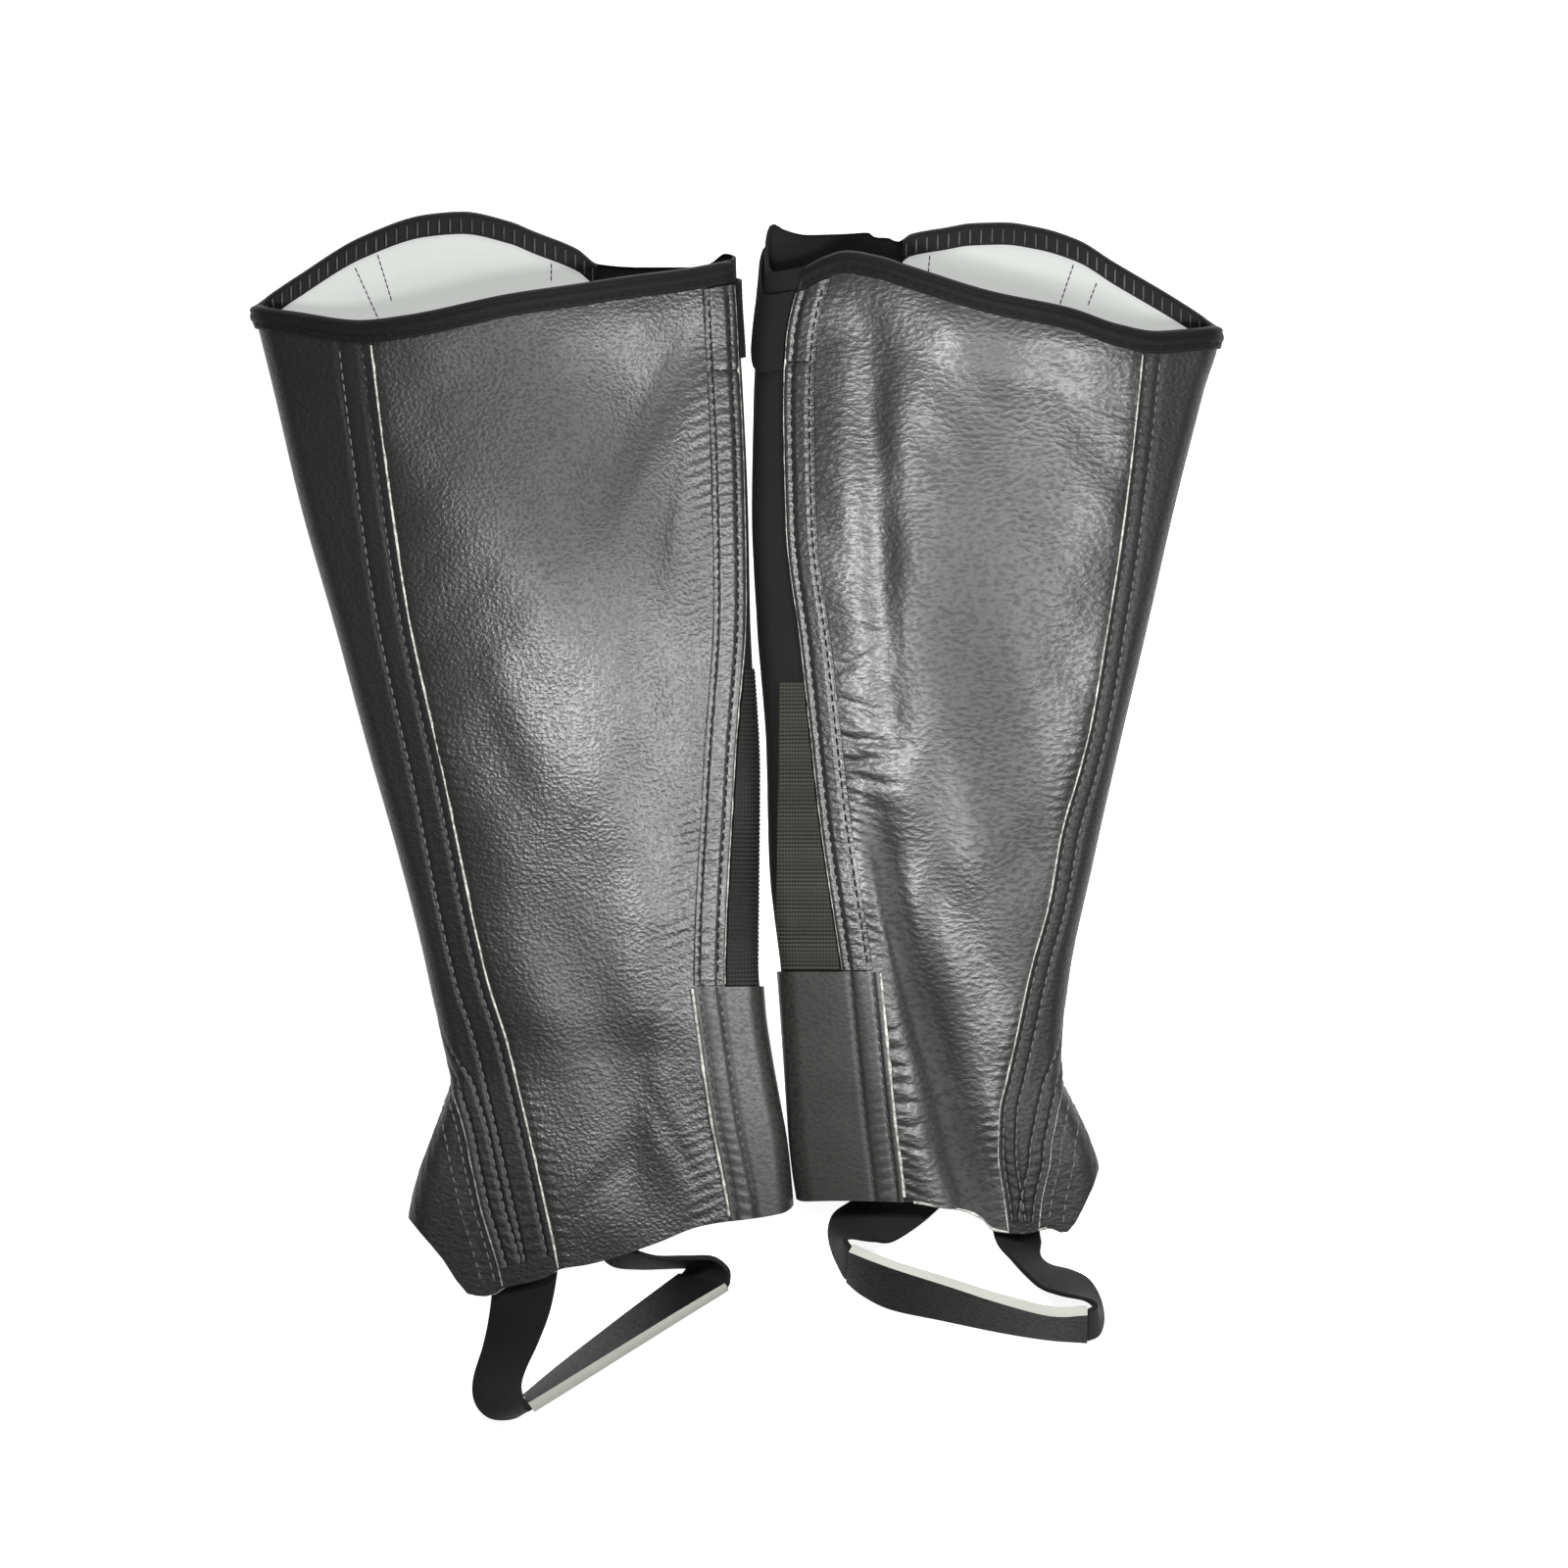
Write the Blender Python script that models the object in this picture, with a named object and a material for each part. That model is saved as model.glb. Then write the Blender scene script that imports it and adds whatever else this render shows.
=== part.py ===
"""Pair of leather riding gaiters lying on a table, closures side by side and rims at the top.

Each gaiter is a flattened tube: one layer lies on the table and the other is puffed up over it.
A place on the tube is its ring place (0 at the folded outer edge, 1 round the upper layer at the
closure edge, -1 round the lower layer at the same edge) and its height up the plan. Lengths in
the tables are millimetres. "out" is the distance outward from the line between the two gaiters,
and "up" is the distance up the plan, toward the rims.
"""
import math

import bmesh
import bpy
import numpy as np

MM = 0.001

# Wall thicknesses and the gaps between pieces
LEATHER = 1.6
ELASTIC = 1.4
LINING = 1.0
BINDING = 1.0
PATCH = 1.3
SEAM_GAP = 0.3
LAYER_GAP = 0.5
RAISED_GAP = 0.8
LINING_GAP = 0.6
INSIDE = LEATHER + LINING_GAP + LINING

# Round edges of the flattened tube
FOLD_RADIUS = 6.0
EDGE_CROWDING = 4.5

# Half the distances over which a wall's direction is measured, round the ring and up the plan
RING_SPAN = 1.5
UP_SPAN = 4.0

# Widths of the sewn-on pieces
BINDING_WIDTH = 9.0
FACING_WIDTH = 12.0
PATCH_UNDER = 26.0
TAB_TOP = 9.0
TAB_LENGTH = 30.0
STRAP_ELASTIC = 2.0
STRAP_THICK = 4.4

# The table stays under the binding and the patch, which are outside the lower layer
LIFT = BINDING + LAYER_GAP + SEAM_GAP
LIFT_FULL = 12.0
LIFT_RAMP = 24.0
PATCH_MARGIN = 14.0

# Rows of the panels, measured down from the rim, before the even ones, and the columns
FIRST_ROWS = (0.0, 10.0, 24.0)
PANEL_ROWS = 18
BACK_COLUMNS = 9
SIDE_COLUMNS = 10
UPPER_COLUMNS = 14
ELASTIC_COLUMNS = 10
BINDING_STATIONS = 36

# Rows crowd where the flare over the instep begins
FLARE_UP = -102.0
FLARE_REACH = 14.0
FLARE_CROWDING = 1.6

# The middle of the pair's own box, in plan
MIDDLE_ACROSS = -0.5
MIDDLE_UP = 0.3


def table(columns, *rows):
    """A short table as a dictionary of named columns, sorted by its first column."""
    names = columns.split()
    ordered = sorted(rows)
    return {name: np.array([row[place] for row in ordered], float) for place, name in enumerate(names)}


# Sections across each gaiter: folded edge, closure edge and height of the puffed layer
SECTIONS = {
    "left": table(
        "up fold closure crown",
        (225, 190.4, 0.6, 33),
        (203, 190.4, 0.0, 33),
        (188, 187.0, -0.9, 33),
        (167, 181.9, -2.2, 32),
        (121, 171.1, -4.2, 31),
        (75, 158.0, -5.2, 29),
        (28, 145.3, -7.4, 27),
        (-18, 132.2, -7.6, 25),
        (-50, 124.0, -8.0, 24),
        (-75, 118.4, -9.4, 24),
        (-95, 113.8, -12.2, 23),
        (-102, 112.4, -13.4, 23),
        (-112, 115.2, -15.2, 23),
        (-126, 120.3, -17.7, 23),
        (-141, 125.7, -19.4, 23),
        (-157, 129.2, -20.6, 23),
        (-190, 131.0, -21.2, 22)),
    "right": table(
        "up fold closure crown",
        (236, 189.2, 11.7, 33),
        (226, 189.2, 10.9, 33),
        (216, 189.2, 10.5, 33),
        (204, 189.2, 9.4, 33),
        (190, 189.2, 7.8, 33),
        (167, 183.1, 6.4, 32),
        (121, 171.5, 5.6, 31),
        (75, 161.1, 7.6, 29),
        (28, 150.0, 11.2, 27),
        (-18, 139.6, 12.4, 25),
        (-64, 129.9, 17.4, 24),
        (-94, 126.9, 19.6, 23),
        (-103, 127.8, 20.2, 23),
        (-112, 132.0, 20.8, 23),
        (-126, 138.4, 21.8, 23),
        (-139, 142.2, 23.2, 23),
        (-152, 142.6, 25.0, 23),
        (-170, 143.0, 26.0, 22)),
}

# Rims of the upper (near) and lower (far) layer, top of the binding or of the elastic
NEAR_RIM = {
    "left": table(
        "out up",
        (190.4, 200.5), (173.1, 197.7), (147.6, 194.2), (130.0, 196.0), (89.5, 204.2),
        (61.4, 208.5), (39.5, 212.0), (20.2, 214.7), (4.8, 217.7), (0.0, 218.5)),
    "right": table(
        "out up",
        (189.2, 192.5), (173.1, 190.8), (164.2, 190.2), (149.2, 192.8), (130.6, 198.9),
        (99.1, 205.4), (66.0, 215.8), (55.1, 219.3), (42.2, 221.5), (33.0, 219.0),
        (25.6, 215.4), (12.0, 213.0)),
}
FAR_RIM = {
    "left": table(
        "out up",
        (190.4, 200.5), (173.4, 212.0), (147.1, 228.1), (121.9, 236.6), (108.0, 237.7),
        (89.5, 233.9), (79.9, 230.0), (62.9, 223.1), (54.5, 217.0), (38.7, 215.8),
        (19.4, 215.8), (11.4, 217.0), (4.4, 221.2), (0.0, 220.5)),
    "right": table(
        "out up",
        (189.2, 192.5), (171.1, 204.2), (147.6, 218.1), (133.8, 226.6), (118.0, 231.6),
        (104.5, 233.5), (91.4, 233.1), (82.6, 231.6), (68.0, 228.9), (63.0, 225.8),
        (58.7, 227.4), (54.5, 227.4), (51.4, 229.4), (42.2, 228.9), (27.5, 228.5),
        (18.9, 230.4), (11.7, 234.7)),
}

# Hems of the upper and lower layer at the instep
NEAR_HEM = {
    "left": table(
        "out up",
        (129.2, -157.3), (116.0, -172.5), (104.1, -187.3), (96.4, -187.7), (93.0, -185.0),
        (75.3, -180.4), (69.1, -176.9), (57.9, -175.0), (34.1, -167.7), (13.7, -160.0),
        (-16.4, -155.4), (-22.0, -152.5)),
    "right": table(
        "out up",
        (142.2, -137.5), (139.2, -145.7), (128.0, -163.0), (122.2, -161.0), (111.8, -163.0),
        (100.3, -161.5), (95.3, -156.9), (88.0, -153.8), (80.3, -152.7), (68.0, -150.7),
        (45.0, -150.2), (22.0, -150.7)),
}
FAR_HEM = {
    "left": table("out up", (129.2, -157.3), (110.0, -154.0), (40.0, -150.0), (-22.0, -150.0)),
    "right": table("out up", (142.2, -137.5), (125.0, -144.0), (80.0, -145.0), (22.0, -148.0)),
}

# Seams: upper long seam, lower long seam (ring distance from the fold), closure edge of the
# upper layer, outer side of the zip strip, and elastic seam on the lower layer
SEAMS = {
    "left": table(
        "up seam under edge strip elastic",
        (225, 147.5, -36, 3.0, 1.5, 56),
        (186, 143.4, -34, 0.8, 0.0, 55),
        (130, 136.5, -31, -1.8, -3.0, 53),
        (81, 129.2, -27, -2.6, -4.0, 50),
        (17, 115.3, -21, 1.2, -7.2, 45),
        (-64, 98.0, -12, 4.8, -6.8, 34),
        (-87, 90.7, -6, 4.0, -9.5, 28),
        (-102, 86.9, 2, 3.0, -12.0, 25),
        (-125, 81.4, 17, 0.5, -16.0, 20),
        (-149, 76.0, 30, -3.5, -18.0, 14),
        (-175, 70.5, 40, -6.0, -20.0, 12),
        (-190, 68.0, 44, -7.0, -20.0, 11)),
    "right": table(
        "up seam under edge strip elastic",
        (235, 161.5, -36, 31.0, 17.0, 66),
        (214, 161.2, -36, 25.6, 17.0, 65),
        (187, 159.2, -35, 19.4, 14.0, 64),
        (163, 157.0, -33, 18.3, 13.0, 62),
        (113, 151.2, -30, 19.4, 13.0, 60),
        (67, 144.0, -26, 25.0, 17.0, 57),
        (37, 138.8, -23, 28.3, 17.0, 55),
        (19, 134.4, -21, 30.2, 17.0, 53),
        (-7, 127.0, -18, 33.2, 16.6, 51),
        (-33, 122.4, -14, 37.0, 16.4, 49),
        (-60, 115.0, -11, 41.0, 18.6, 48),
        (-86, 109.4, -6, 44.2, 21.0, 47),
        (-102, 105.8, 2, 46.2, 22.2, 46),
        (-116, 102.7, 12, 48.2, 23.2, 46),
        (-131, 102.2, 21, 50.0, 24.0, 46),
        (-151, 104.8, 27, 52.0, 26.0, 46),
        (-168, 107.0, 29, 53.0, 27.0, 46)),
}

# Inner edge and ends of the ankle patch, and the stretch of zip strip that shows
PATCH_EDGE = {
    "left": table("up out", (-60, 18.6), (-116, 10.6), (-152, 3.7), (-170, 1.5)),
    "right": table("up out", (-60, 55.6), (-120, 61.8), (-145, 64.9), (-165, 66.5)),
}
PATCH_TOP = {"left": -66.5, "right": -60.5}
STRIP_TOP = {"left": 58.0, "right": 52.5}

# Folds of the upper layer: middle, half length, heading from the up direction, half width, depth
FOLDS = {
    "left": table(
        "up out length heading width depth",
        (145.0, 43.0, 46.0, 28.0, 12.0, 3.2),
        (60.0, 22.0, 90.0, 2.0, 12.0, 1.6),
        (-60.0, 60.0, 60.0, -14.0, 16.0, 1.5),
        (-120.0, 40.0, 34.0, 10.0, 10.0, 1.4)),
    "right": table(
        "up out length heading width depth",
        (112.0, 55.5, 78.0, 3.0, 8.0, 2.2),
        (-26.0, 60.0, 30.0, 11.0, 8.0, 2.2),
        (-105.0, 80.0, 58.0, 17.5, 11.0, 4.6),
        (-112.0, 66.0, 48.0, 11.0, 7.0, -0.8),
        (5.0, 103.0, 34.0, 20.0, 14.0, 1.6),
        (-52.0, 96.0, 30.0, 10.0, 12.0, 1.4)),
}
FOLD_FADE = 16.0

# Straps: the edge near the table and the upper edge, from the sewn end on the upper layer, round
# the sole piece, to the sewn end on the lower layer. The sewn rows take their height from the tube.
FRONT_SEWN = {
    # low_out low_up high_out high_up
    "left": ((97.0, -166.0, 70.5, -156.0), (97.0, -177.0, 70.5, -167.0), (97.0, -186.0, 70.6, -177.0)),
    "right": ((119.5, -140.0, 99.0, -140.0), (119.5, -151.0, 99.4, -151.0), (119.4, -160.5, 100.0, -160.0)),
}
STRAP_FRONT = {
    # low_out low_up low_z high_out high_up high_z
    "left": (
        (97.6, -197.0, 9.0, 73.0, -192.5, 14.0),
        (100.0, -208.0, 4.2, 78.0, -206.0, 11.6),
        (103.2, -218.5, 1.6, 82.6, -215.5, 12.0),
        (103.8, -226.5, 1.3, 84.6, -221.0, 15.0),
        (101.2, -232.8, 1.3, 84.6, -225.0, 18.6),
        (95.5, -236.2, 1.3, 83.6, -228.2, 22.0),
        (86.5, -235.0, 1.4, 81.8, -231.2, 24.6)),
    "right": (
        (119.0, -166.5, 6.0, 101.8, -167.0, 16.0),
        (118.6, -172.4, 2.2, 107.6, -173.0, 20.0),
        (122.6, -176.2, 1.4, 113.2, -179.0, 21.0),
        (131.0, -178.4, 1.4, 119.0, -184.0, 21.0),
        (137.8, -182.0, 1.4, 127.0, -186.8, 21.0),
        (142.0, -189.0, 1.4, 133.4, -188.0, 21.2),
        (143.4, -197.0, 1.4, 138.6, -189.2, 21.6),
        (141.8, -203.0, 1.6, 140.2, -191.2, 22.0),
        (138.0, -205.0, 2.4, 137.8, -192.8, 22.2)),
}
STRAP_SOLE = {
    "left": (
        (83.2, -228.6, 1.6, 80.4, -230.9, 24.6),
        (70.0, -217.4, 1.7, 65.6, -221.8, 24.2),
        (52.0, -203.2, 2.0, 43.0, -207.8, 23.0),
        (36.0, -190.8, 2.4, 21.2, -194.4, 21.2),
        (22.4, -180.6, 2.6, 3.8, -184.0, 18.8)),
    "right": (
        (137.3, -205.0, 2.4, 137.0, -192.8, 22.2),
        (122.0, -203.8, 2.5, 123.0, -193.2, 22.4),
        (103.5, -201.0, 2.6, 103.0, -188.2, 21.6),
        (80.5, -196.4, 2.8, 83.0, -181.8, 20.8),
        (61.0, -192.4, 2.9, 62.4, -175.4, 19.6),
        (50.0, -187.0, 2.9, 51.6, -171.4, 19.6),
        (43.6, -181.5, 2.6, 44.6, -168.4, 20.6)),
}
STRAP_BACK = {
    "left": (
        (20.6, -178.6, 1.8, 3.0, -181.6, 18.4),
        (20.0, -177.0, 1.5, 3.6, -177.0, 18.4),
        (23.0, -176.6, 1.4, 9.6, -172.6, 19.2),
        (29.6, -176.8, 1.4, 20.6, -172.4, 20.0),
        (39.0, -177.0, 1.4, 33.6, -172.0, 20.0),
        (49.4, -175.8, 1.6, 44.4, -166.6, 16.6),
        (55.6, -168.4, 3.0, 48.2, -153.4, 9.2)),
    "right": (
        (41.8, -179.6, 1.8, 43.2, -167.0, 21.4),
        (37.6, -170.4, 1.4, 42.6, -165.0, 22.4),
        (35.8, -162.4, 1.4, 47.0, -165.0, 20.6),
        (37.6, -156.2, 1.5, 54.0, -166.0, 17.0),
        (43.6, -151.4, 3.6, 60.8, -166.4, 14.6),
        (55.2, -144.8, 7.4, 71.4, -160.0, 12.0)),
}
BACK_SEWN = {
    "left": ((59.0, -157.0, 50.0, -139.5), (67.0, -144.0, 52.0, -128.0), (72.0, -132.0, 53.0, -119.0)),
    "right": ((66.0, -138.0, 81.0, -151.5), (71.0, -131.0, 90.0, -142.5), (74.0, -123.0, 95.0, -131.0)),
}
STRAP_STEPS = 2
STRAP_JOINT = 0.7

COLORS = {
    # base colour, roughness
    "upper_panel": ((0.030, 0.031, 0.029), 0.45),
    "side_panel": ((0.020, 0.023, 0.022), 0.62),
    "back_panel": ((0.024, 0.025, 0.024), 0.55),
    "elastic": ((0.006, 0.006, 0.006), 0.85),
    "facing_leather": ((0.030, 0.031, 0.029), 0.42),
    "zip_tape": ((0.020, 0.020, 0.016), 0.80),
    "binding": ((0.012, 0.012, 0.012), 0.60),
    "patch_leather": ((0.033, 0.035, 0.032), 0.40),
    "lining": ((0.600, 0.610, 0.600), 0.85),
    "sole_leather": ((0.018, 0.018, 0.017), 0.60),
}


def curve(rows, key, column):
    """A smooth line through two columns of a table, without overshoot."""
    place = rows[key]
    value = rows[column]
    step = np.diff(place)
    rise = np.diff(value) / step
    slope = np.zeros(len(place))
    slope[0] = rise[0]
    slope[-1] = rise[-1]
    together = rise[:-1] * rise[1:] > 0
    total = np.where(together, rise[:-1] + rise[1:], 1.0)
    slope[1:-1] = np.where(together, 2 * rise[:-1] * rise[1:] / total, 0.0)

    def read(at):
        at = np.clip(at, place[0], place[-1])
        i = np.clip(np.searchsorted(place, at) - 1, 0, len(step) - 1)
        t = (at - place[i]) / step[i]
        start = (1 + 2 * t) * (1 - t) ** 2 * value[i] + t * (1 - t) ** 2 * step[i] * slope[i]
        stop = t * t * (3 - 2 * t) * value[i + 1] + t * t * (t - 1) * step[i] * slope[i + 1]
        return start + stop

    return read


def smooth(value):
    """0 below 0, 1 above 1, and a soft step between."""
    t = np.clip(value, 0.0, 1.0)
    return t * t * (3 - 2 * t)


class Gaiter:
    """The outer surface of one gaiter, its seams and its rims."""

    def __init__(self, name):
        sections = SECTIONS[name]
        seams = SEAMS[name]
        self.name = name
        self.side = -1 if name == "left" else 1
        self.fold = curve(sections, "up", "fold")
        self.closure = curve(sections, "up", "closure")
        self.crown = curve(sections, "up", "crown")
        self.near_rim = curve(NEAR_RIM[name], "out", "up")
        self.far_rim = curve(FAR_RIM[name], "out", "up")
        self.near_hem = curve(NEAR_HEM[name], "out", "up")
        self.far_hem = curve(FAR_HEM[name], "out", "up")
        self.seam_out = curve(seams, "up", "seam")
        self.under_distance = curve(seams, "up", "under")
        self.edge_out = curve(seams, "up", "edge")
        self.strip_out = curve(seams, "up", "strip")
        self.elastic_out = curve(seams, "up", "elastic")
        self.patch_out = curve(PATCH_EDGE[name], "up", "out")
        self.patch_top = PATCH_TOP[name]
        self.folds = FOLDS[name]

    # The ring: distances round the flattened tube

    def half_ring(self, up):
        """Ring distance from the fold to the closure edge."""
        return self.fold(up) - self.closure(up) - 2 * FOLD_RADIUS + math.pi * FOLD_RADIUS

    def flat(self, ring, up):
        """Distance in from the fold, and height of the tube's section before it is puffed up."""
        ring = (np.asarray(ring) + 1) % 2 - 1
        half = self.half_ring(up)
        distance = np.abs(ring) * half
        quarter = math.pi * FOLD_RADIUS / 2
        turn_fold = np.clip(distance / FOLD_RADIUS, 0, math.pi / 2)
        turn_closure = np.clip((half - distance) / FOLD_RADIUS, 0, math.pi / 2)
        run = np.clip(distance - quarter, 0, half - 2 * quarter)
        inward = FOLD_RADIUS * (1 - np.cos(turn_fold) + np.cos(turn_closure)) + run
        rise = np.minimum(np.sin(turn_fold), np.sin(turn_closure))
        return inward, FOLD_RADIUS * (1 + np.sign(ring) * rise), ring

    def out(self, ring, up):
        return self.fold(up) - self.flat(ring, up)[0]

    def ring_at(self, out, up, layer=1):
        """Ring place of a plan distance, on the upper (1) or the lower (-1) layer."""
        inward = self.fold(up) - out
        width = self.fold(up) - self.closure(up)
        half = self.half_ring(up)
        first = FOLD_RADIUS * np.arccos(np.clip(1 - inward / FOLD_RADIUS, -1, 1))
        last = half - FOLD_RADIUS * np.arccos(np.clip(1 - (width - inward) / FOLD_RADIUS, -1, 1))
        middle = inward - FOLD_RADIUS + math.pi * FOLD_RADIUS / 2
        distance = np.where(inward < FOLD_RADIUS, first, np.where(width - inward < FOLD_RADIUS, last, middle))
        return layer * distance / half

    def crowded(self, ring, up):
        """Ring place counted with the round edges stretched, so that columns crowd there."""
        round_part = math.pi * FOLD_RADIUS / 2 / self.half_ring(up)
        total = np.asarray(ring, float)
        for edge in (-2, -1, 0, 1, 2):
            total = total + EDGE_CROWDING * np.clip(ring - edge, -round_part, round_part)
        return total

    def uncrowded(self, count, up):
        """The ring place whose crowded value is count, by halving."""
        low = np.full(np.shape(count), -3.0)
        high = np.full(np.shape(count), 3.0)
        for _ in range(34):
            middle = (low + high) / 2
            above = self.crowded(middle, up) > count
            high = np.where(above, middle, high)
            low = np.where(above, low, middle)
        return (low + high) / 2

    # Rims and hems

    def blend(self, near, far, ring, up):
        """Upper layer's line on the upper layer, lower layer's on the lower, soft at the edges."""
        out = self.out(ring, up)
        height = self.flat(ring, up)[1] / (2 * FOLD_RADIUS)
        return far(out) + (near(out) - far(out)) * smooth(height)

    def rim(self, ring, up):
        return self.blend(self.near_rim, self.far_rim, ring, up)

    def hem(self, ring, up):
        return self.blend(self.near_hem, self.far_hem, ring, up)

    # Heights

    def lift(self, ring, up):
        """How far the lower layer is held up by the binding and the ankle patch below it."""
        below_rim = self.rim(ring, up) - up
        at_rim = 1 - smooth((below_rim - LIFT_FULL) / LIFT_RAMP)
        from_closure = self.out(ring, up) - self.closure(up)
        across = 1 - smooth((from_closure - PATCH_UNDER - PATCH_MARGIN) / LIFT_RAMP)
        along = 1 - smooth((up - self.patch_top - LIFT_RAMP) / LIFT_RAMP)
        return LIFT * np.maximum(at_rim, across * along)

    def creased(self, out, up):
        """Depth of the upper layer's folds at a place in plan."""
        total = np.zeros(np.shape(out))
        folds = self.folds
        for place in range(len(folds["up"])):
            heading = math.radians(folds["heading"][place])
            away_out = out - folds["out"][place]
            away_up = up - folds["up"][place]
            along = away_up * math.cos(heading) - away_out * math.sin(heading)
            across = away_up * math.sin(heading) + away_out * math.cos(heading)
            ends = np.exp(-(along / folds["length"][place]) ** 4)
            total = total + folds["depth"][place] * np.exp(-(across / folds["width"][place]) ** 2) * ends
        return total

    def surface(self, ring, up):
        """Point on the outer surface."""
        inward, height, ring = self.flat(ring, up)
        width = self.fold(up) - self.closure(up)
        share = np.clip(inward / width, 0, 1)
        puff = (self.crown(up) - 2 * FOLD_RADIUS) * np.sin(math.pi * share)
        out = self.fold(up) - inward
        edges = smooth(inward / FOLD_FADE) * smooth((width - inward) / FOLD_FADE)
        raised = np.where(ring > 0, puff - edges * self.creased(out, up), 0.0)
        x = self.side * out - MIDDLE_ACROSS
        y = up - MIDDLE_UP
        return np.stack([x, y + 0 * x, height + raised + self.lift(ring, up)], axis=-1)

    def at(self, ring, up, depth):
        """Point at a depth below the outer surface, or outside it where the depth is negative."""
        ring, up, depth = np.broadcast_arrays(np.asarray(ring, float), up, depth)
        span = RING_SPAN / self.half_ring(up)
        along_ring = self.surface(ring + span, up) - self.surface(ring - span, up)
        along_up = self.surface(ring, up + UP_SPAN) - self.surface(ring, up - UP_SPAN)
        normal = -self.side * np.cross(along_ring, along_up)
        normal = normal / np.linalg.norm(normal, axis=-1, keepdims=True)
        return self.surface(ring, up) - normal * depth[..., None]

    # Seams as ring places

    def seam(self, up):
        return self.ring_at(self.seam_out(up), up)

    def under(self, up):
        return self.under_distance(up) / self.half_ring(up)

    def edge(self, up):
        return self.ring_at(self.edge_out(up), up)

    def strip(self, up):
        return self.ring_at(self.strip_out(up), up)

    def elastic(self, up):
        """Elastic seam on the lower layer, counted on past the closure edge."""
        return 2 + self.ring_at(self.elastic_out(up), up, -1)

    def moved(self, line, distance):
        """A seam line moved round the ring by a distance."""
        return lambda up: line(up) + distance / self.half_ring(up)


def places(gaiter, start, stop, top, bottom, columns, rows):
    """Grid of ring places and heights between two seam lines and two ends."""
    share = np.linspace(0, 1, columns + 1)

    def ring(up, share):
        first = gaiter.crowded(start(up), up)
        last = gaiter.crowded(stop(up), up)
        return gaiter.uncrowded(first + (last - first) * share, up)

    high = np.full(columns + 1, 200.0)
    low = np.full(columns + 1, -150.0)
    for _ in range(10):
        high = top(ring(high, share), high)
        low = bottom(ring(low, share), low)
    steps = row_steps(high, low, rows)
    share = np.broadcast_to(share, steps.shape)
    return ring(steps, share), steps


def row_steps(high, low, rows):
    """Heights of a grid's rows: the first ones close below the rim, and more where the flare begins."""
    if rows <= len(FIRST_ROWS) + 2:
        share = np.linspace(0, 1, rows + 1)[:, None]
        return high + (low - high) * share
    first = [high - distance for distance in FIRST_ROWS]
    share = np.linspace(0, 1, rows + 2 - len(FIRST_ROWS))[:, None]
    start = row_count(first[-1])
    rest = row_height(start + (row_count(low) - start) * share)
    return np.concatenate([np.stack(first[:-1]), rest])


def row_count(up):
    """Height counted with the flare's beginning stretched."""
    return up + FLARE_CROWDING * np.clip(up - FLARE_UP, -FLARE_REACH, FLARE_REACH)


def row_height(count):
    """The height whose stretched value is count."""
    ends = np.array([-400.0, FLARE_UP - FLARE_REACH, FLARE_UP + FLARE_REACH, 400.0])
    return np.interp(count, row_count(ends), ends)


def new_object(name, points, faces, material):
    """A closed mesh from points in millimetres, its faces turned outward."""
    mesh = bpy.data.meshes.new(name)
    mesh.from_pydata([tuple(point * MM) for point in points], [], faces)
    mesh.update()
    shape = bmesh.new()
    shape.from_mesh(mesh)
    bmesh.ops.recalc_face_normals(shape, faces=shape.faces)
    shape.to_mesh(mesh)
    shape.free()
    mesh.shade_smooth()
    mesh.set_sharp_from_angle(angle=math.radians(40))
    mesh.materials.append(get_material(material))
    obj = bpy.data.objects.new(name, mesh)
    bpy.context.scene.collection.objects.link(obj)
    return obj


def get_material(name):
    """The named material, made once."""
    if name in bpy.data.materials:
        return bpy.data.materials[name]
    color, roughness = COLORS[name]
    material = bpy.data.materials.new(name)
    material.use_nodes = True
    shader = material.node_tree.nodes["Principled BSDF"]
    shader.inputs["Base Color"].default_value = (*color, 1.0)
    shader.inputs["Roughness"].default_value = roughness
    shader.inputs["Metallic"].default_value = 0.0
    return material


def halves(a, b, c, d, first):
    """A quad's two triangles, split along its first or its second diagonal."""
    if first:
        return (a, b, c), (a, c, d)
    return (a, b, d), (b, c, d)


def closed_wall(name, outer, inner, material):
    """A wall between two grids of points, closed round its border.

    Its quads are split along their shorter diagonal, the same way on both faces and on both sides
    of a seam, so that neighbours stay apart.
    """
    rows, columns = outer.shape[:2]
    points = np.concatenate([outer.reshape(-1, 3), inner.reshape(-1, 3)])
    behind = rows * columns
    falling = np.linalg.norm(outer[:-1, :-1] - outer[1:, 1:], axis=-1)
    rising = np.linalg.norm(outer[:-1, 1:] - outer[1:, :-1], axis=-1)
    faces = []
    for row in range(rows - 1):
        for column in range(columns - 1):
            a = row * columns + column
            quad = (a, a + 1, a + 1 + columns, a + columns)
            for triangle in halves(*quad, falling[row, column] < rising[row, column]):
                faces.append(triangle)
                faces.append(tuple(behind + corner for corner in reversed(triangle)))
    border = list(range(columns))
    border += [row * columns + columns - 1 for row in range(1, rows)]
    border += [rows * columns - 1 - column for column in range(1, columns)]
    border += [row * columns for row in range(rows - 2, 0, -1)]
    for first, second in zip(border, border[1:] + border[:1]):
        if first < second:
            faces.append((second, first, behind + second))
            faces.append((first, behind + first, behind + second))
        else:
            faces.append((second, first, behind + first))
            faces.append((second, behind + first, behind + second))
    return new_object(name, points, faces, material)


def panel(gaiter, name, start, stop, top, bottom, columns, rows, depths, material):
    """A sewn panel: a wall over a stretch of the tube, between two depths."""
    ring, up = places(gaiter, start, stop, top, bottom, columns, rows)
    outer = gaiter.at(ring, up, depths[0])
    inner = gaiter.at(ring, up, depths[1])
    return closed_wall(f"{gaiter.name}_{name}", outer, inner, material)


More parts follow.
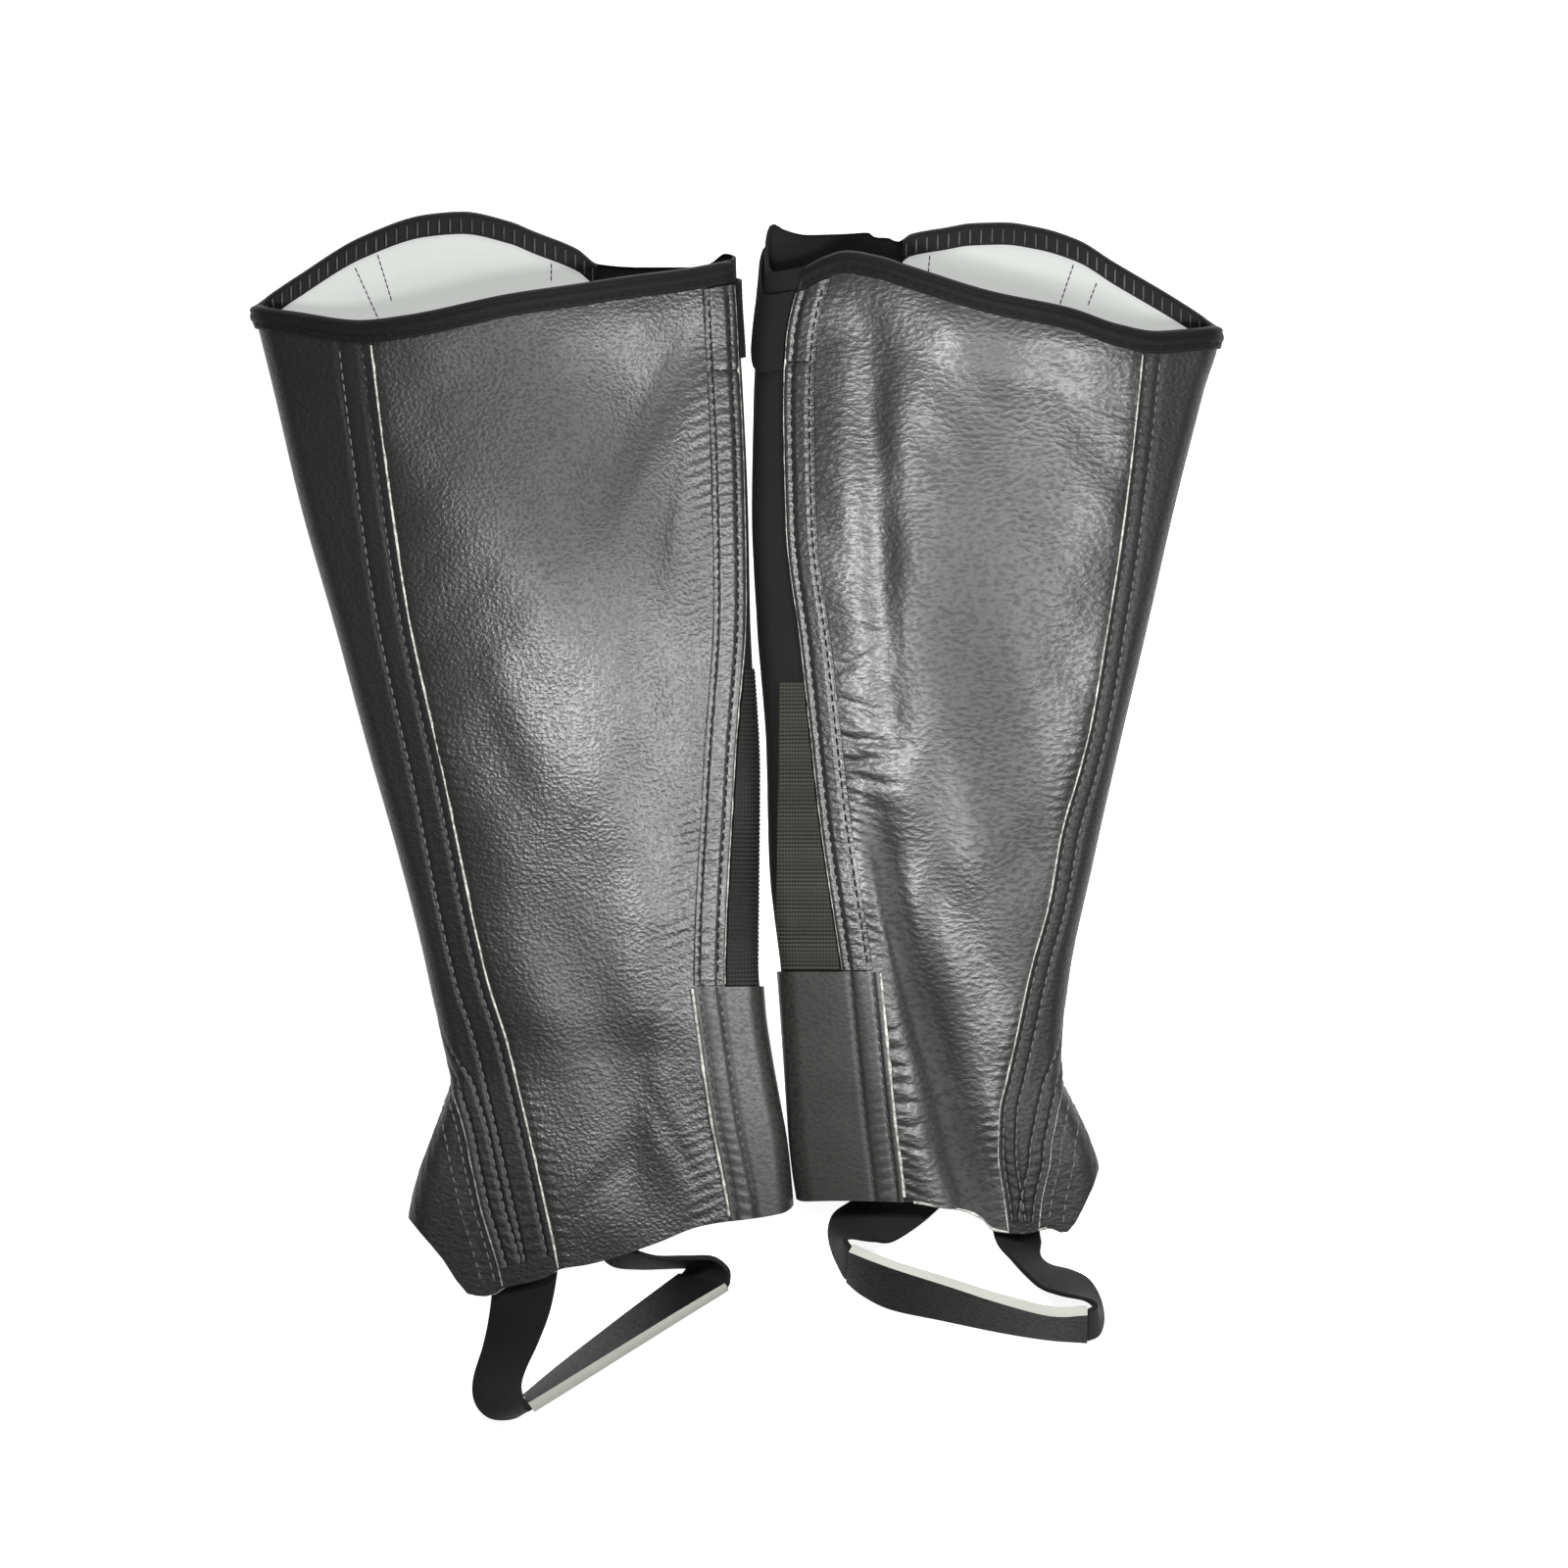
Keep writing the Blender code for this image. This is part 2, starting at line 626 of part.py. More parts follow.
def lowered(line, distance):
    """A rim or hem line moved down the plan."""
    return lambda ring, up: line(ring, up) - distance


def level(height):
    """A straight end across the plan."""
    return lambda ring, up: height + 0 * up


def build_panels(gaiter):
    """The four panels round the tube and the lining inside them."""
    gap = SEAM_GAP / 2
    under_binding = lowered(gaiter.rim, BINDING + LINING_GAP)
    leather = (0.0, LEATHER)
    moved = gaiter.moved
    back_start = moved(lambda up: gaiter.elastic(up) - 2, gap)
    stretches = (
        # name, first and last seam line, columns
        ("back_panel", back_start, moved(gaiter.under, -gap), BACK_COLUMNS),
        ("side_panel", moved(gaiter.under, gap), moved(gaiter.seam, -gap), SIDE_COLUMNS),
        ("upper_panel", moved(gaiter.seam, gap), moved(gaiter.edge, -gap), UPPER_COLUMNS))
    lining = []
    for name, start, stop, columns in stretches:
        grid = places(gaiter, start, stop, under_binding, gaiter.hem, columns, PANEL_ROWS)
        outer = gaiter.at(*grid, 0.0)
        inner = gaiter.at(*grid, LEATHER)
        closed_wall(f"{gaiter.name}_{name}", outer, inner, name)
        lining.append(grid)
    ring, up = lining_grid(lining)
    closed_wall(f"{gaiter.name}_lining", gaiter.at(ring, up, LEATHER + LINING_GAP),
                gaiter.at(ring, up, INSIDE), "lining")
    panel(gaiter, "elastic_panel", moved(gaiter.edge, gap), moved(gaiter.elastic, -gap),
          gaiter.rim, gaiter.hem, ELASTIC_COLUMNS, PANEL_ROWS, (0.0, ELASTIC), "elastic")


def lining_grid(grids):
    """The leather panels' grids as one, so that the lining lies parallel below them."""
    rings = [grids[0][0]] + [grid[0][:, 1:] for grid in grids[1:]]
    ups = [grids[0][1]] + [grid[1][:, 1:] for grid in grids[1:]]
    return np.concatenate(rings, axis=1), np.concatenate(ups, axis=1)


def build_closure(gaiter):
    """The stitched facing, the zip strip, the ankle patch and the snap tab at the closure edge."""
    name = gaiter.name
    moved = gaiter.moved
    gap = SEAM_GAP / 2
    facing_start = moved(gaiter.edge, -FACING_WIDTH)
    facing_top = lowered(gaiter.rim, BINDING_WIDTH + 0.6)
    outside = (-LAYER_GAP - PATCH, -LAYER_GAP)
    raised = (-RAISED_GAP - PATCH, -RAISED_GAP)
    panel(gaiter, "closure_facing", facing_start, moved(gaiter.edge, -gap), facing_top,
          level(gaiter.patch_top + 0.6), 4, 16, raised, "facing_leather")
    panel(gaiter, "zip_strip", moved(gaiter.edge, gap + 0.3), gaiter.strip,
          level(STRIP_TOP[name]), level(gaiter.patch_top + 0.6), 4, 10, outside, "zip_tape")
    patch_inner = lambda up: gaiter.ring_at(gaiter.patch_out(up), up)
    patch_outer = lambda up: 2 + gaiter.ring_at(gaiter.closure(up) + PATCH_UNDER, up, -1)
    panel(gaiter, "ankle_patch", patch_inner, patch_outer, level(gaiter.patch_top),
          gaiter.hem, 13, 8, outside, "patch_leather")
    tab_under = moved(lambda up: 1 + 0 * up, 4.6)
    tab_top = lowered(gaiter.rim, TAB_TOP)
    tab_bottom = lowered(gaiter.rim, TAB_TOP + TAB_LENGTH)
    panel(gaiter, "snap_tab", moved(gaiter.edge, gap + 0.3), tab_under, tab_top, tab_bottom,
          6, 5, raised, "elastic")


def build_binding(gaiter):
    """The bound rim: a folded strip over the top edge, from the closure round to the elastic."""
    outside = -LAYER_GAP - BINDING
    inside = INSIDE + LAYER_GAP
    profile = (
        # down from the rim, depth
        (BINDING_WIDTH, outside), (0.0, outside), (0.0, inside + BINDING), (BINDING_WIDTH, inside + BINDING),
        (BINDING_WIDTH, inside), (BINDING, inside), (BINDING, -LAYER_GAP), (BINDING_WIDTH, -LAYER_GAP))
    stations = BINDING_STATIONS
    start = gaiter.moved(lambda up: gaiter.elastic(up) - 2, SEAM_GAP)
    stop = gaiter.moved(gaiter.edge, -SEAM_GAP)
    ring, up = places(gaiter, start, stop, gaiter.rim, lowered(gaiter.rim, 1.0), stations, 1)
    ring = ring[0]
    up = up[0]
    points = np.concatenate([gaiter.at(ring, up - down, depth) for down, depth in profile])
    count = stations + 1
    corners = len(profile)
    faces = []
    for corner in range(corners):
        after = (corner + 1) % corners
        for place in range(stations):
            faces.append((corner * count + place, corner * count + place + 1,
                          after * count + place + 1, after * count + place))
    for end in (0, stations):
        for quad in ((0, 1, 6, 7), (1, 2, 5, 6), (2, 3, 4, 5)):
            faces.append(tuple(corner * count + end for corner in quad))
    new_object(f"{gaiter.name}_top_binding", points, faces, "binding")


def free_edges(gaiter, rows):
    """The low and the high edge of a strap's free stretch."""
    values = np.array(rows, float)
    sign = np.array([gaiter.side, 1, 1])
    middle = np.array([MIDDLE_ACROSS, MIDDLE_UP, 0])
    return np.stack([values[:, :3] * sign - middle, values[:, 3:] * sign - middle], axis=1)


def sewn_edges(gaiter, rows, layer):
    """The low and the high edge of a strap's end, lying on the inside of the tube."""
    depth = INSIDE + RAISED_GAP + STRAP_ELASTIC / 2
    values = np.array(rows, float)
    edges = []
    for out, up in ((values[:, 0], values[:, 1]), (values[:, 2], values[:, 3])):
        edges.append(gaiter.at(gaiter.ring_at(out, up, layer), up, depth))
    return np.stack(edges, axis=1)


def rounded(rows):
    """The strap's rows with more between them, on a smooth line through each."""
    slope = np.gradient(rows, axis=0)
    at = np.linspace(0, len(rows) - 1, (len(rows) - 1) * STRAP_STEPS + 1)
    i = np.minimum(at.astype(int), len(rows) - 2)
    t = (at - i)[:, None, None]
    start = (1 + 2 * t) * (1 - t) ** 2 * rows[i] + t * (1 - t) ** 2 * slope[i]
    stop = t * t * (3 - 2 * t) * rows[i + 1] + t * t * (t - 1) * slope[i + 1]
    return start + stop


def strap(gaiter, name, rows, thick, material):
    """A ribbon between its two edges, of even thickness."""
    rows = rounded(rows)
    low = rows[:, 0]
    high = rows[:, 1]
    forward = np.gradient((low + high) / 2, axis=0)
    normal = np.cross(forward, high - low)
    normal = normal / np.linalg.norm(normal, axis=-1, keepdims=True) * thick / 2
    outer = np.stack([low + normal, high + normal], axis=1)
    inner = np.stack([low - normal, high - normal], axis=1)
    return closed_wall(f"{gaiter.name}_{name}", outer, inner, material)


def shortened(rows, end):
    """A strap's rows with the last row at one end moved back from the joint."""
    rows = rows.copy()
    away = rows[end] - rows[end + (1 if end == 0 else -1)]
    length = np.linalg.norm(away.mean(axis=0))
    rows[end] = rows[end] - away * STRAP_JOINT / 2 / length
    return rows


def build_straps(gaiter):
    """The under-foot strap: elastic from the upper layer, leather sole piece, elastic back under."""
    name = gaiter.name
    front = np.concatenate([sewn_edges(gaiter, FRONT_SEWN[name], 1), free_edges(gaiter, STRAP_FRONT[name])])
    sole = free_edges(gaiter, STRAP_SOLE[name])
    back = np.concatenate([free_edges(gaiter, STRAP_BACK[name]), sewn_edges(gaiter, BACK_SEWN[name], -1)])
    strap(gaiter, "strap_front", shortened(front, -1), STRAP_ELASTIC, "elastic")
    strap(gaiter, "strap_sole", sole, STRAP_THICK, "sole_leather")
    strap(gaiter, "strap_back", shortened(back, 0), STRAP_ELASTIC, "elastic")


def main():
    for obj in list(bpy.data.objects):
        bpy.data.objects.remove(obj, do_unlink=True)
    for name in ("left", "right"):
        gaiter = Gaiter(name)
        build_panels(gaiter)
        build_closure(gaiter)
        build_binding(gaiter)
        build_straps(gaiter)


main()
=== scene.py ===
"""The pair of riding gaiters as the photograph shows them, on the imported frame.

The forms come from the same tables as the solids, in millimetres: "out" is the distance outward
from the line between the two gaiters and "up" is the distance up the plan. A place on a tube is its
ring place (0 at the folded outer edge, 1 round the upper layer at the closure edge, -1 round the
lower layer at the same edge) and its height up the plan. Each cloth piece is a thin sheet on its
solid's outer face, turned in at its edges, with its creases, stitched grooves and raw edges.
"""

import math

import bmesh
import bpy
import numpy as np
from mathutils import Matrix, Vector


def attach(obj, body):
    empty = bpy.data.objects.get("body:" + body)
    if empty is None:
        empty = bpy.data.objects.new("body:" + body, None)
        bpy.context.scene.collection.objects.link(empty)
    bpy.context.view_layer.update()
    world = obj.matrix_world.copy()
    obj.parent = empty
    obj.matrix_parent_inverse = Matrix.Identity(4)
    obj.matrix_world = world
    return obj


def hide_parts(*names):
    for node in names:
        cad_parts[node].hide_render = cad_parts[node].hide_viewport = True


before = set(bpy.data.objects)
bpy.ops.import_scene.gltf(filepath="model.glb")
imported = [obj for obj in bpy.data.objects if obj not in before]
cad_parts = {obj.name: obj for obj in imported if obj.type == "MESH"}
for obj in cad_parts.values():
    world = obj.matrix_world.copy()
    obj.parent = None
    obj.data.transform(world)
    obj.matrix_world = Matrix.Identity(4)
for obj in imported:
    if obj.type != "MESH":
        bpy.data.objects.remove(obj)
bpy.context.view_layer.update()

MM = 0.001

# Wall thicknesses and the gaps between pieces
LEATHER = 1.6
ELASTIC = 1.4
LINING = 1.0
BINDING = 1.0
PATCH = 1.3
SEAM_GAP = 0.3
LAYER_GAP = 0.5
RAISED_GAP = 0.8
LINING_GAP = 0.6
INSIDE = LEATHER + LINING_GAP + LINING

# Round edges of the flattened tube
FOLD_RADIUS = 6.0

# Half the distances over which a wall's direction is measured, round the ring and up the plan
RING_SPAN = 1.5
UP_SPAN = 4.0

# Widths of the sewn-on pieces
BINDING_WIDTH = 9.0
FACING_WIDTH = 12.0
PATCH_UNDER = 26.0
TAB_TOP = 9.0
TAB_LENGTH = 30.0
STRAP_ELASTIC = 2.0
STRAP_THICK = 4.4

# How far the snap tab goes round under the closure, and the gap that sewn-on pieces keep from the patch
TAB_UNDER = 4.6
PATCH_CLEAR = 0.6

# Ribs of the zip strip and the tab: their spacing and depth
STRIP_RIB = 1.7
STRIP_RIB_DEEP = 0.22
TAB_RIB = 2.0
TAB_RIB_DEEP = 0.06

# The table stays under the binding and the patch, which are outside the lower layer
LIFT = BINDING + LAYER_GAP + SEAM_GAP
LIFT_FULL = 12.0
LIFT_RAMP = 24.0
PATCH_MARGIN = 14.0

# The middle of the pair's own box, in plan
MIDDLE_ACROSS = -0.5
MIDDLE_UP = 0.3


def table(columns, *rows):
    """A short table as a dictionary of named columns, sorted by its first column."""
    names = columns.split()
    ordered = sorted(rows)
    return {name: np.array([row[place] for row in ordered], float) for place, name in enumerate(names)}


# Sections across each gaiter: folded edge, closure edge and height of the puffed layer
SECTIONS = {
    "left": table(
        "up fold closure crown",
        (225, 190.4, 0.6, 33),
        (203, 190.4, 0, 33),
        (188, 187, -0.9, 33),
        (167, 181.9, -2.2, 32),
        (121, 171.1, -4.2, 31),
        (75, 158, -5.2, 29),
        (28, 145.3, -7.4, 27),
        (-18, 132.2, -7.6, 25),
        (-50, 124, -8, 24),
        (-75, 118.4, -9.4, 24),
        (-95, 113.8, -12.2, 23),
        (-102, 112.4, -13.4, 23),
        (-112, 115.2, -15.2, 23),
        (-126, 120.3, -17.7, 23),
        (-141, 125.7, -19.4, 23),
        (-157, 129.2, -20.6, 23),
        (-190, 131, -21.2, 22)),
    "right": table(
        "up fold closure crown",
        (236, 189.2, 11.7, 33),
        (226, 189.2, 10.9, 33),
        (216, 189.2, 10.5, 33),
        (204, 189.2, 9.4, 33),
        (190, 189.2, 7.8, 33),
        (167, 183.1, 6.4, 32),
        (121, 171.5, 5.6, 31),
        (75, 161.1, 7.6, 29),
        (28, 150, 11.2, 27),
        (-18, 139.6, 12.4, 25),
        (-64, 129.9, 17.4, 24),
        (-94, 126.9, 19.6, 23),
        (-103, 127.8, 20.2, 23),
        (-112, 132, 20.8, 23),
        (-126, 138.4, 21.8, 23),
        (-139, 142.2, 23.2, 23),
        (-152, 142.6, 25, 23),
        (-170, 143, 26, 22)),
}

# Rims of the upper (near) and lower (far) layer, top of the binding or of the elastic
NEAR_RIM = {
    "left": table(
        "out up",
        (190.4, 200.5), (173.1, 197.7), (147.6, 194.2), (130, 196), (89.5, 204.2),
        (61.4, 208.5), (39.5, 212), (20.2, 214.7), (4.8, 217.7), (0, 218.5)),
    "right": table(
        "out up",
        (189.2, 192.5), (173.1, 190.8), (164.2, 190.2), (149.2, 192.8), (130.6, 198.9),
        (99.1, 205.4), (66, 215.8), (55.1, 219.3), (42.2, 221.5), (33, 219),
        (25.6, 215.4), (12, 213)),
}
FAR_RIM = {
    "left": table(
        "out up",
        (190.4, 200.5), (173.4, 212), (147.1, 228.1), (121.9, 236.6), (108, 237.7),
        (89.5, 233.9), (79.9, 230), (62.9, 223.1), (54.5, 217), (38.7, 215.8),
        (19.4, 215.8), (11.4, 217), (4.4, 221.2), (0, 220.5)),
    "right": table(
        "out up",
        (189.2, 192.5), (171.1, 204.2), (147.6, 218.1), (133.8, 226.6), (118, 231.6),
        (104.5, 233.5), (91.4, 233.1), (82.6, 231.6), (68, 228.9), (63, 225.8),
        (58.7, 227.4), (54.5, 227.4), (51.4, 229.4), (42.2, 228.9), (27.5, 228.5),
        (18.9, 230.4), (11.7, 234.7)),
}

# Hems of the upper and lower layer at the instep
NEAR_HEM = {
    "left": table(
        "out up",
        (129.2, -157.3), (116, -172.5), (104.1, -187.3), (96.4, -187.7), (93, -185),
        (75.3, -180.4), (69.1, -176.9), (57.9, -175), (34.1, -167.7), (13.7, -160),
        (-16.4, -155.4), (-22, -152.5)),
    "right": table(
        "out up",
        (142.2, -137.5), (139.2, -145.7), (128, -163), (122.2, -161), (111.8, -163),
        (100.3, -161.5), (95.3, -156.9), (88, -153.8), (80.3, -152.7), (68, -150.7),
        (45, -150.2), (22, -150.7)),
}
FAR_HEM = {
    "left": table("out up", (129.2, -157.3), (110, -154), (40, -150), (-22, -150)),
    "right": table("out up", (142.2, -137.5), (125, -144), (80, -145), (22, -148)),
}

# Seams: upper long seam, lower long seam (ring distance from the fold), closure edge of the
# upper layer, outer side of the zip strip, and elastic seam on the lower layer
SEAMS = {
    "left": table(
        "up seam under edge strip elastic",
        (225, 147.5, -36, 3, 1.5, 56),
        (186, 143.4, -34, 0.8, 0, 55),
        (130, 136.5, -31, -1.8, -3, 53),
        (81, 129.2, -27, -2.6, -4, 50),
        (17, 115.3, -21, 1.2, -7.2, 45),
        (-64, 98, -12, 4.8, -6.8, 34),
        (-87, 90.7, -6, 4, -9.5, 28),
        (-102, 86.9, 2, 3, -12, 25),
        (-125, 81.4, 17, 0.5, -16, 20),
        (-149, 76, 30, -3.5, -18, 14),
        (-175, 70.5, 40, -6, -20, 12),
        (-190, 68, 44, -7, -20, 11)),
    "right": table(
        "up seam under edge strip elastic",
        (235, 161.5, -36, 31, 17, 66),
        (214, 161.2, -36, 25.6, 17, 65),
        (187, 159.2, -35, 19.4, 14, 64),
        (163, 157, -33, 18.3, 13, 62),
        (113, 151.2, -30, 19.4, 13, 60),
        (67, 144, -26, 25, 17, 57),
        (37, 138.8, -23, 28.3, 17, 55),
        (19, 134.4, -21, 30.2, 17, 53),
        (-7, 127, -18, 33.2, 16.6, 51),
        (-33, 122.4, -14, 37, 16.4, 49),
        (-60, 115, -11, 41, 18.6, 48),
        (-86, 109.4, -6, 44.2, 21, 47),
        (-102, 105.8, 2, 46.2, 22.2, 46),
        (-116, 102.7, 12, 48.2, 23.2, 46),
        (-131, 102.2, 21, 50, 24, 46),
        (-151, 104.8, 27, 52, 26, 46),
        (-168, 107, 29, 53, 27, 46)),
}

# Inner edge and ends of the ankle patch, and the stretch of zip strip that shows
PATCH_EDGE = {
    "left": table("up out", (-60, 18.6), (-116, 10.6), (-152, 3.7), (-170, 1.5)),
    "right": table("up out", (-60, 55.6), (-120, 61.8), (-145, 64.9), (-165, 66.5)),
}
PATCH_TOP = {"left": -66.5, "right": -60.5}
STRIP_TOP = {"left": 58, "right": 52.5}

# Folds of the upper layer: middle, half length, heading from the up direction, half width, depth
FOLDS = {
    "left": table(
        "up out length heading width depth",
        (145, 43, 46, 28, 12, 3.2),
        (60, 22, 90, 2, 12, 1.6),
        (-60, 60, 60, -14, 16, 1.5),
        (-120, 40, 34, 10, 10, 1.4)),
    "right": table(
        "up out length heading width depth",
        (112, 55.5, 78, 3, 8, 2.2),
        (-26, 60, 30, 11, 8, 2.2),
        (-105, 80, 58, 17.5, 11, 4.6),
        (-112, 66, 48, 11, 7, -0.8),
        (5, 103, 34, 20, 14, 1.6),
        (-52, 96, 30, 10, 12, 1.4)),
}
FOLD_FADE = 16.0

# Straps: the edge near the table and the upper edge, from the sewn end on the upper layer, round
# the sole piece, to the sewn end on the lower layer. The sewn rows take their height from the tube.
FRONT_SEWN = {
    # low_out low_up high_out high_up
    "left": ((97, -166, 70.5, -156), (97, -177, 70.5, -167), (97, -186, 70.6, -177)),
    "right": ((119.5, -140, 99, -140), (119.5, -151, 99.4, -151), (119.4, -160.5, 100, -160)),
}
STRAP_FRONT = {
    # low_out low_up low_z high_out high_up high_z
    "left": (
        (97.6, -197, 9, 73, -192.5, 14),
        (100, -208, 4.2, 78, -206, 11.6),
        (103.2, -218.5, 1.6, 82.6, -215.5, 12),
        (103.8, -226.5, 1.3, 84.6, -221, 15),
        (101.2, -232.8, 1.3, 84.6, -225, 18.6),
        (95.5, -236.2, 1.3, 83.6, -228.2, 22),
        (86.5, -235, 1.4, 81.8, -231.2, 24.6)),
    "right": (
        (119, -166.5, 6, 101.8, -167, 16),
        (118.6, -172.4, 2.2, 107.6, -173, 20),
        (122.6, -176.2, 1.4, 113.2, -179, 21),
        (131, -178.4, 1.4, 119, -184, 21),
        (137.8, -182, 1.4, 127, -186.8, 21),
        (142, -189, 1.4, 133.4, -188, 21.2),
        (143.4, -197, 1.4, 138.6, -189.2, 21.6),
        (141.8, -203, 1.6, 140.2, -191.2, 22),
        (138, -205, 2.4, 137.8, -192.8, 22.2)),
}
STRAP_SOLE = {
    "left": (
        (83.2, -228.6, 1.6, 80.4, -230.9, 24.6),
        (70, -217.4, 1.7, 65.6, -221.8, 24.2),
        (52, -203.2, 2, 43, -207.8, 23),
        (36, -190.8, 2.4, 21.2, -194.4, 21.2),
        (22.4, -180.6, 2.6, 3.8, -184, 18.8)),
    "right": (
        (137.3, -205, 2.4, 137, -192.8, 22.2),
        (122, -203.8, 2.5, 123, -193.2, 22.4),
        (103.5, -201, 2.6, 103, -188.2, 21.6),
        (80.5, -196.4, 2.8, 83, -181.8, 20.8),
        (61, -192.4, 2.9, 62.4, -175.4, 19.6),
        (50, -187, 2.9, 51.6, -171.4, 19.6),
        (43.6, -181.5, 2.6, 44.6, -168.4, 20.6)),
}
STRAP_BACK = {
    "left": (
        (20.6, -178.6, 1.8, 3, -181.6, 18.4),
        (20, -177, 1.5, 3.6, -177, 18.4),
        (23, -176.6, 1.4, 9.6, -172.6, 19.2),
        (29.6, -176.8, 1.4, 20.6, -172.4, 20),
        (39, -177, 1.4, 33.6, -172, 20),
        (49.4, -175.8, 1.6, 44.4, -166.6, 16.6),
        (55.6, -168.4, 3, 48.2, -153.4, 9.2)),
    "right": (
        (41.8, -179.6, 1.8, 43.2, -167, 21.4),
        (37.6, -170.4, 1.4, 42.6, -165, 22.4),
        (35.8, -162.4, 1.4, 47, -165, 20.6),
        (37.6, -156.2, 1.5, 54, -166, 17),
        (43.6, -151.4, 3.6, 60.8, -166.4, 14.6),
        (55.2, -144.8, 7.4, 71.4, -160, 12)),
}
BACK_SEWN = {
    "left": ((59, -157, 50, -139.5), (67, -144, 52, -128), (72, -132, 53, -119)),
    "right": ((66, -138, 81, -151.5), (71, -131, 90, -142.5), (74, -123, 95, -131)),
}
STRAP_STEPS = 6

# The photograph's width at the table and its middle in the plan
PHOTO_ACROSS = 616.0
PHOTO_X = 18.8
PHOTO_Y = 12.6
CAMERA_HEIGHT = 5.0

# Height of the short stitched row across the facing below the snap
SNAP_ROW = {"left": 174.8, "right": 178.0}

# Looks that differ between the two gaiters
GRAINS = {"left": "upper_panel", "right": "upper_panel_drawn"}
STRIP_LOOK = {"left": "zip_tape_dark", "right": "zip_tape"}

# Pale raw edges: where they show along the hem, and their width along the long seams
HEM_PALE = {"left": (), "right": ((69.0, 121.0),)}
SEAM_RAW = {"left": 1.05, "right": 0.7}

# How far the dark strip comes up over the side panel's hem, and the binding laps the elastic
HEM_FOLD = {"left": 8.0, "right": 4.0}
BINDING_LAP = 0.8

# Slow unevenness of the leather: millimetres of one wave across and along, its turn, and its depth
SWELLS = {
    "left": table(
        "across along turn depth",
        (61, 83, 0.4, 0.20), (-47, 52, 2.1, 0.14), (29, -71, 4, 0.09), (-23, -31, 1.2, 0.05)),
    "right": table(
        "across along turn depth",
        (53, -74, 1.4, 0.20), (44, 49, 3.6, 0.14), (-31, 66, 0.7, 0.09), (21, 34, 5, 0.05)),
}

# Seams that show in the opening: place, length down, and tilt across the plan for each millimetre up
LINING_SEAMS = {
    "left": ((152.0, 22.0, 0.45), (141.0, 20.0, 0.30), (73.0, 9.0, 0.0)),
    "right": ((75.5, 9.0, 0.1), (133.0, 18.0, 0.34), (145.0, 9.0, 0.38)),
}
LINING_SEAM_UP = 220.0


def cubic(t, first, last, first_slope, last_slope):
    """A smooth step from one value to the next, with a slope at each of its ends."""
    start = (1 + 2 * t) * (1 - t) ** 2 * first + t * (1 - t) ** 2 * first_slope
    stop = t * t * (3 - 2 * t) * last + t * t * (t - 1) * last_slope
    return start + stop


def curve(rows, key, column):
    """A smooth line through two columns of a table, without overshoot."""
    place = rows[key]
    value = rows[column]
    step = np.diff(place)
    rise = np.diff(value) / step
    slope = np.zeros(len(place))
    slope[0] = rise[0]
    slope[-1] = rise[-1]
    together = rise[:-1] * rise[1:] > 0
    total = np.where(together, rise[:-1] + rise[1:], 1.0)
    slope[1:-1] = np.where(together, 2 * rise[:-1] * rise[1:] / total, 0.0)

    def read(at):
        at = np.clip(at, place[0], place[-1])
        i = np.clip(np.searchsorted(place, at) - 1, 0, len(step) - 1)
        t = (at - place[i]) / step[i]
        return cubic(t, value[i], value[i + 1], step[i] * slope[i], step[i] * slope[i + 1])

    return read


def smooth(value):
    """0 below 0, 1 above 1, and a soft step between."""
    t = np.clip(value, 0.0, 1.0)
    return t * t * (3 - 2 * t)


def trough(distance, width):
    """1 at no distance, and softly down to 0 over about twice the width."""
    return np.exp(-(distance / width) ** 2)


def from_middles(rows, out, up):
    """For each row of a table: how far a place is from its middle, along and across its heading."""
    for place in range(len(rows["up"])):
        heading = math.radians(rows["heading"][place])
        away_out = out - rows["out"][place]
        away_up = up - rows["up"][place]
        along = away_up * math.cos(heading) - away_out * math.sin(heading)
        across = away_up * math.sin(heading) + away_out * math.cos(heading)
        row = {name: values[place] for name, values in rows.items()}
        yield row, along / row["length"], across


def walked(path):
    """Distance walked to each point of a path."""
    return np.concatenate([[0], np.cumsum(np.linalg.norm(np.diff(path, axis=0), axis=1))])


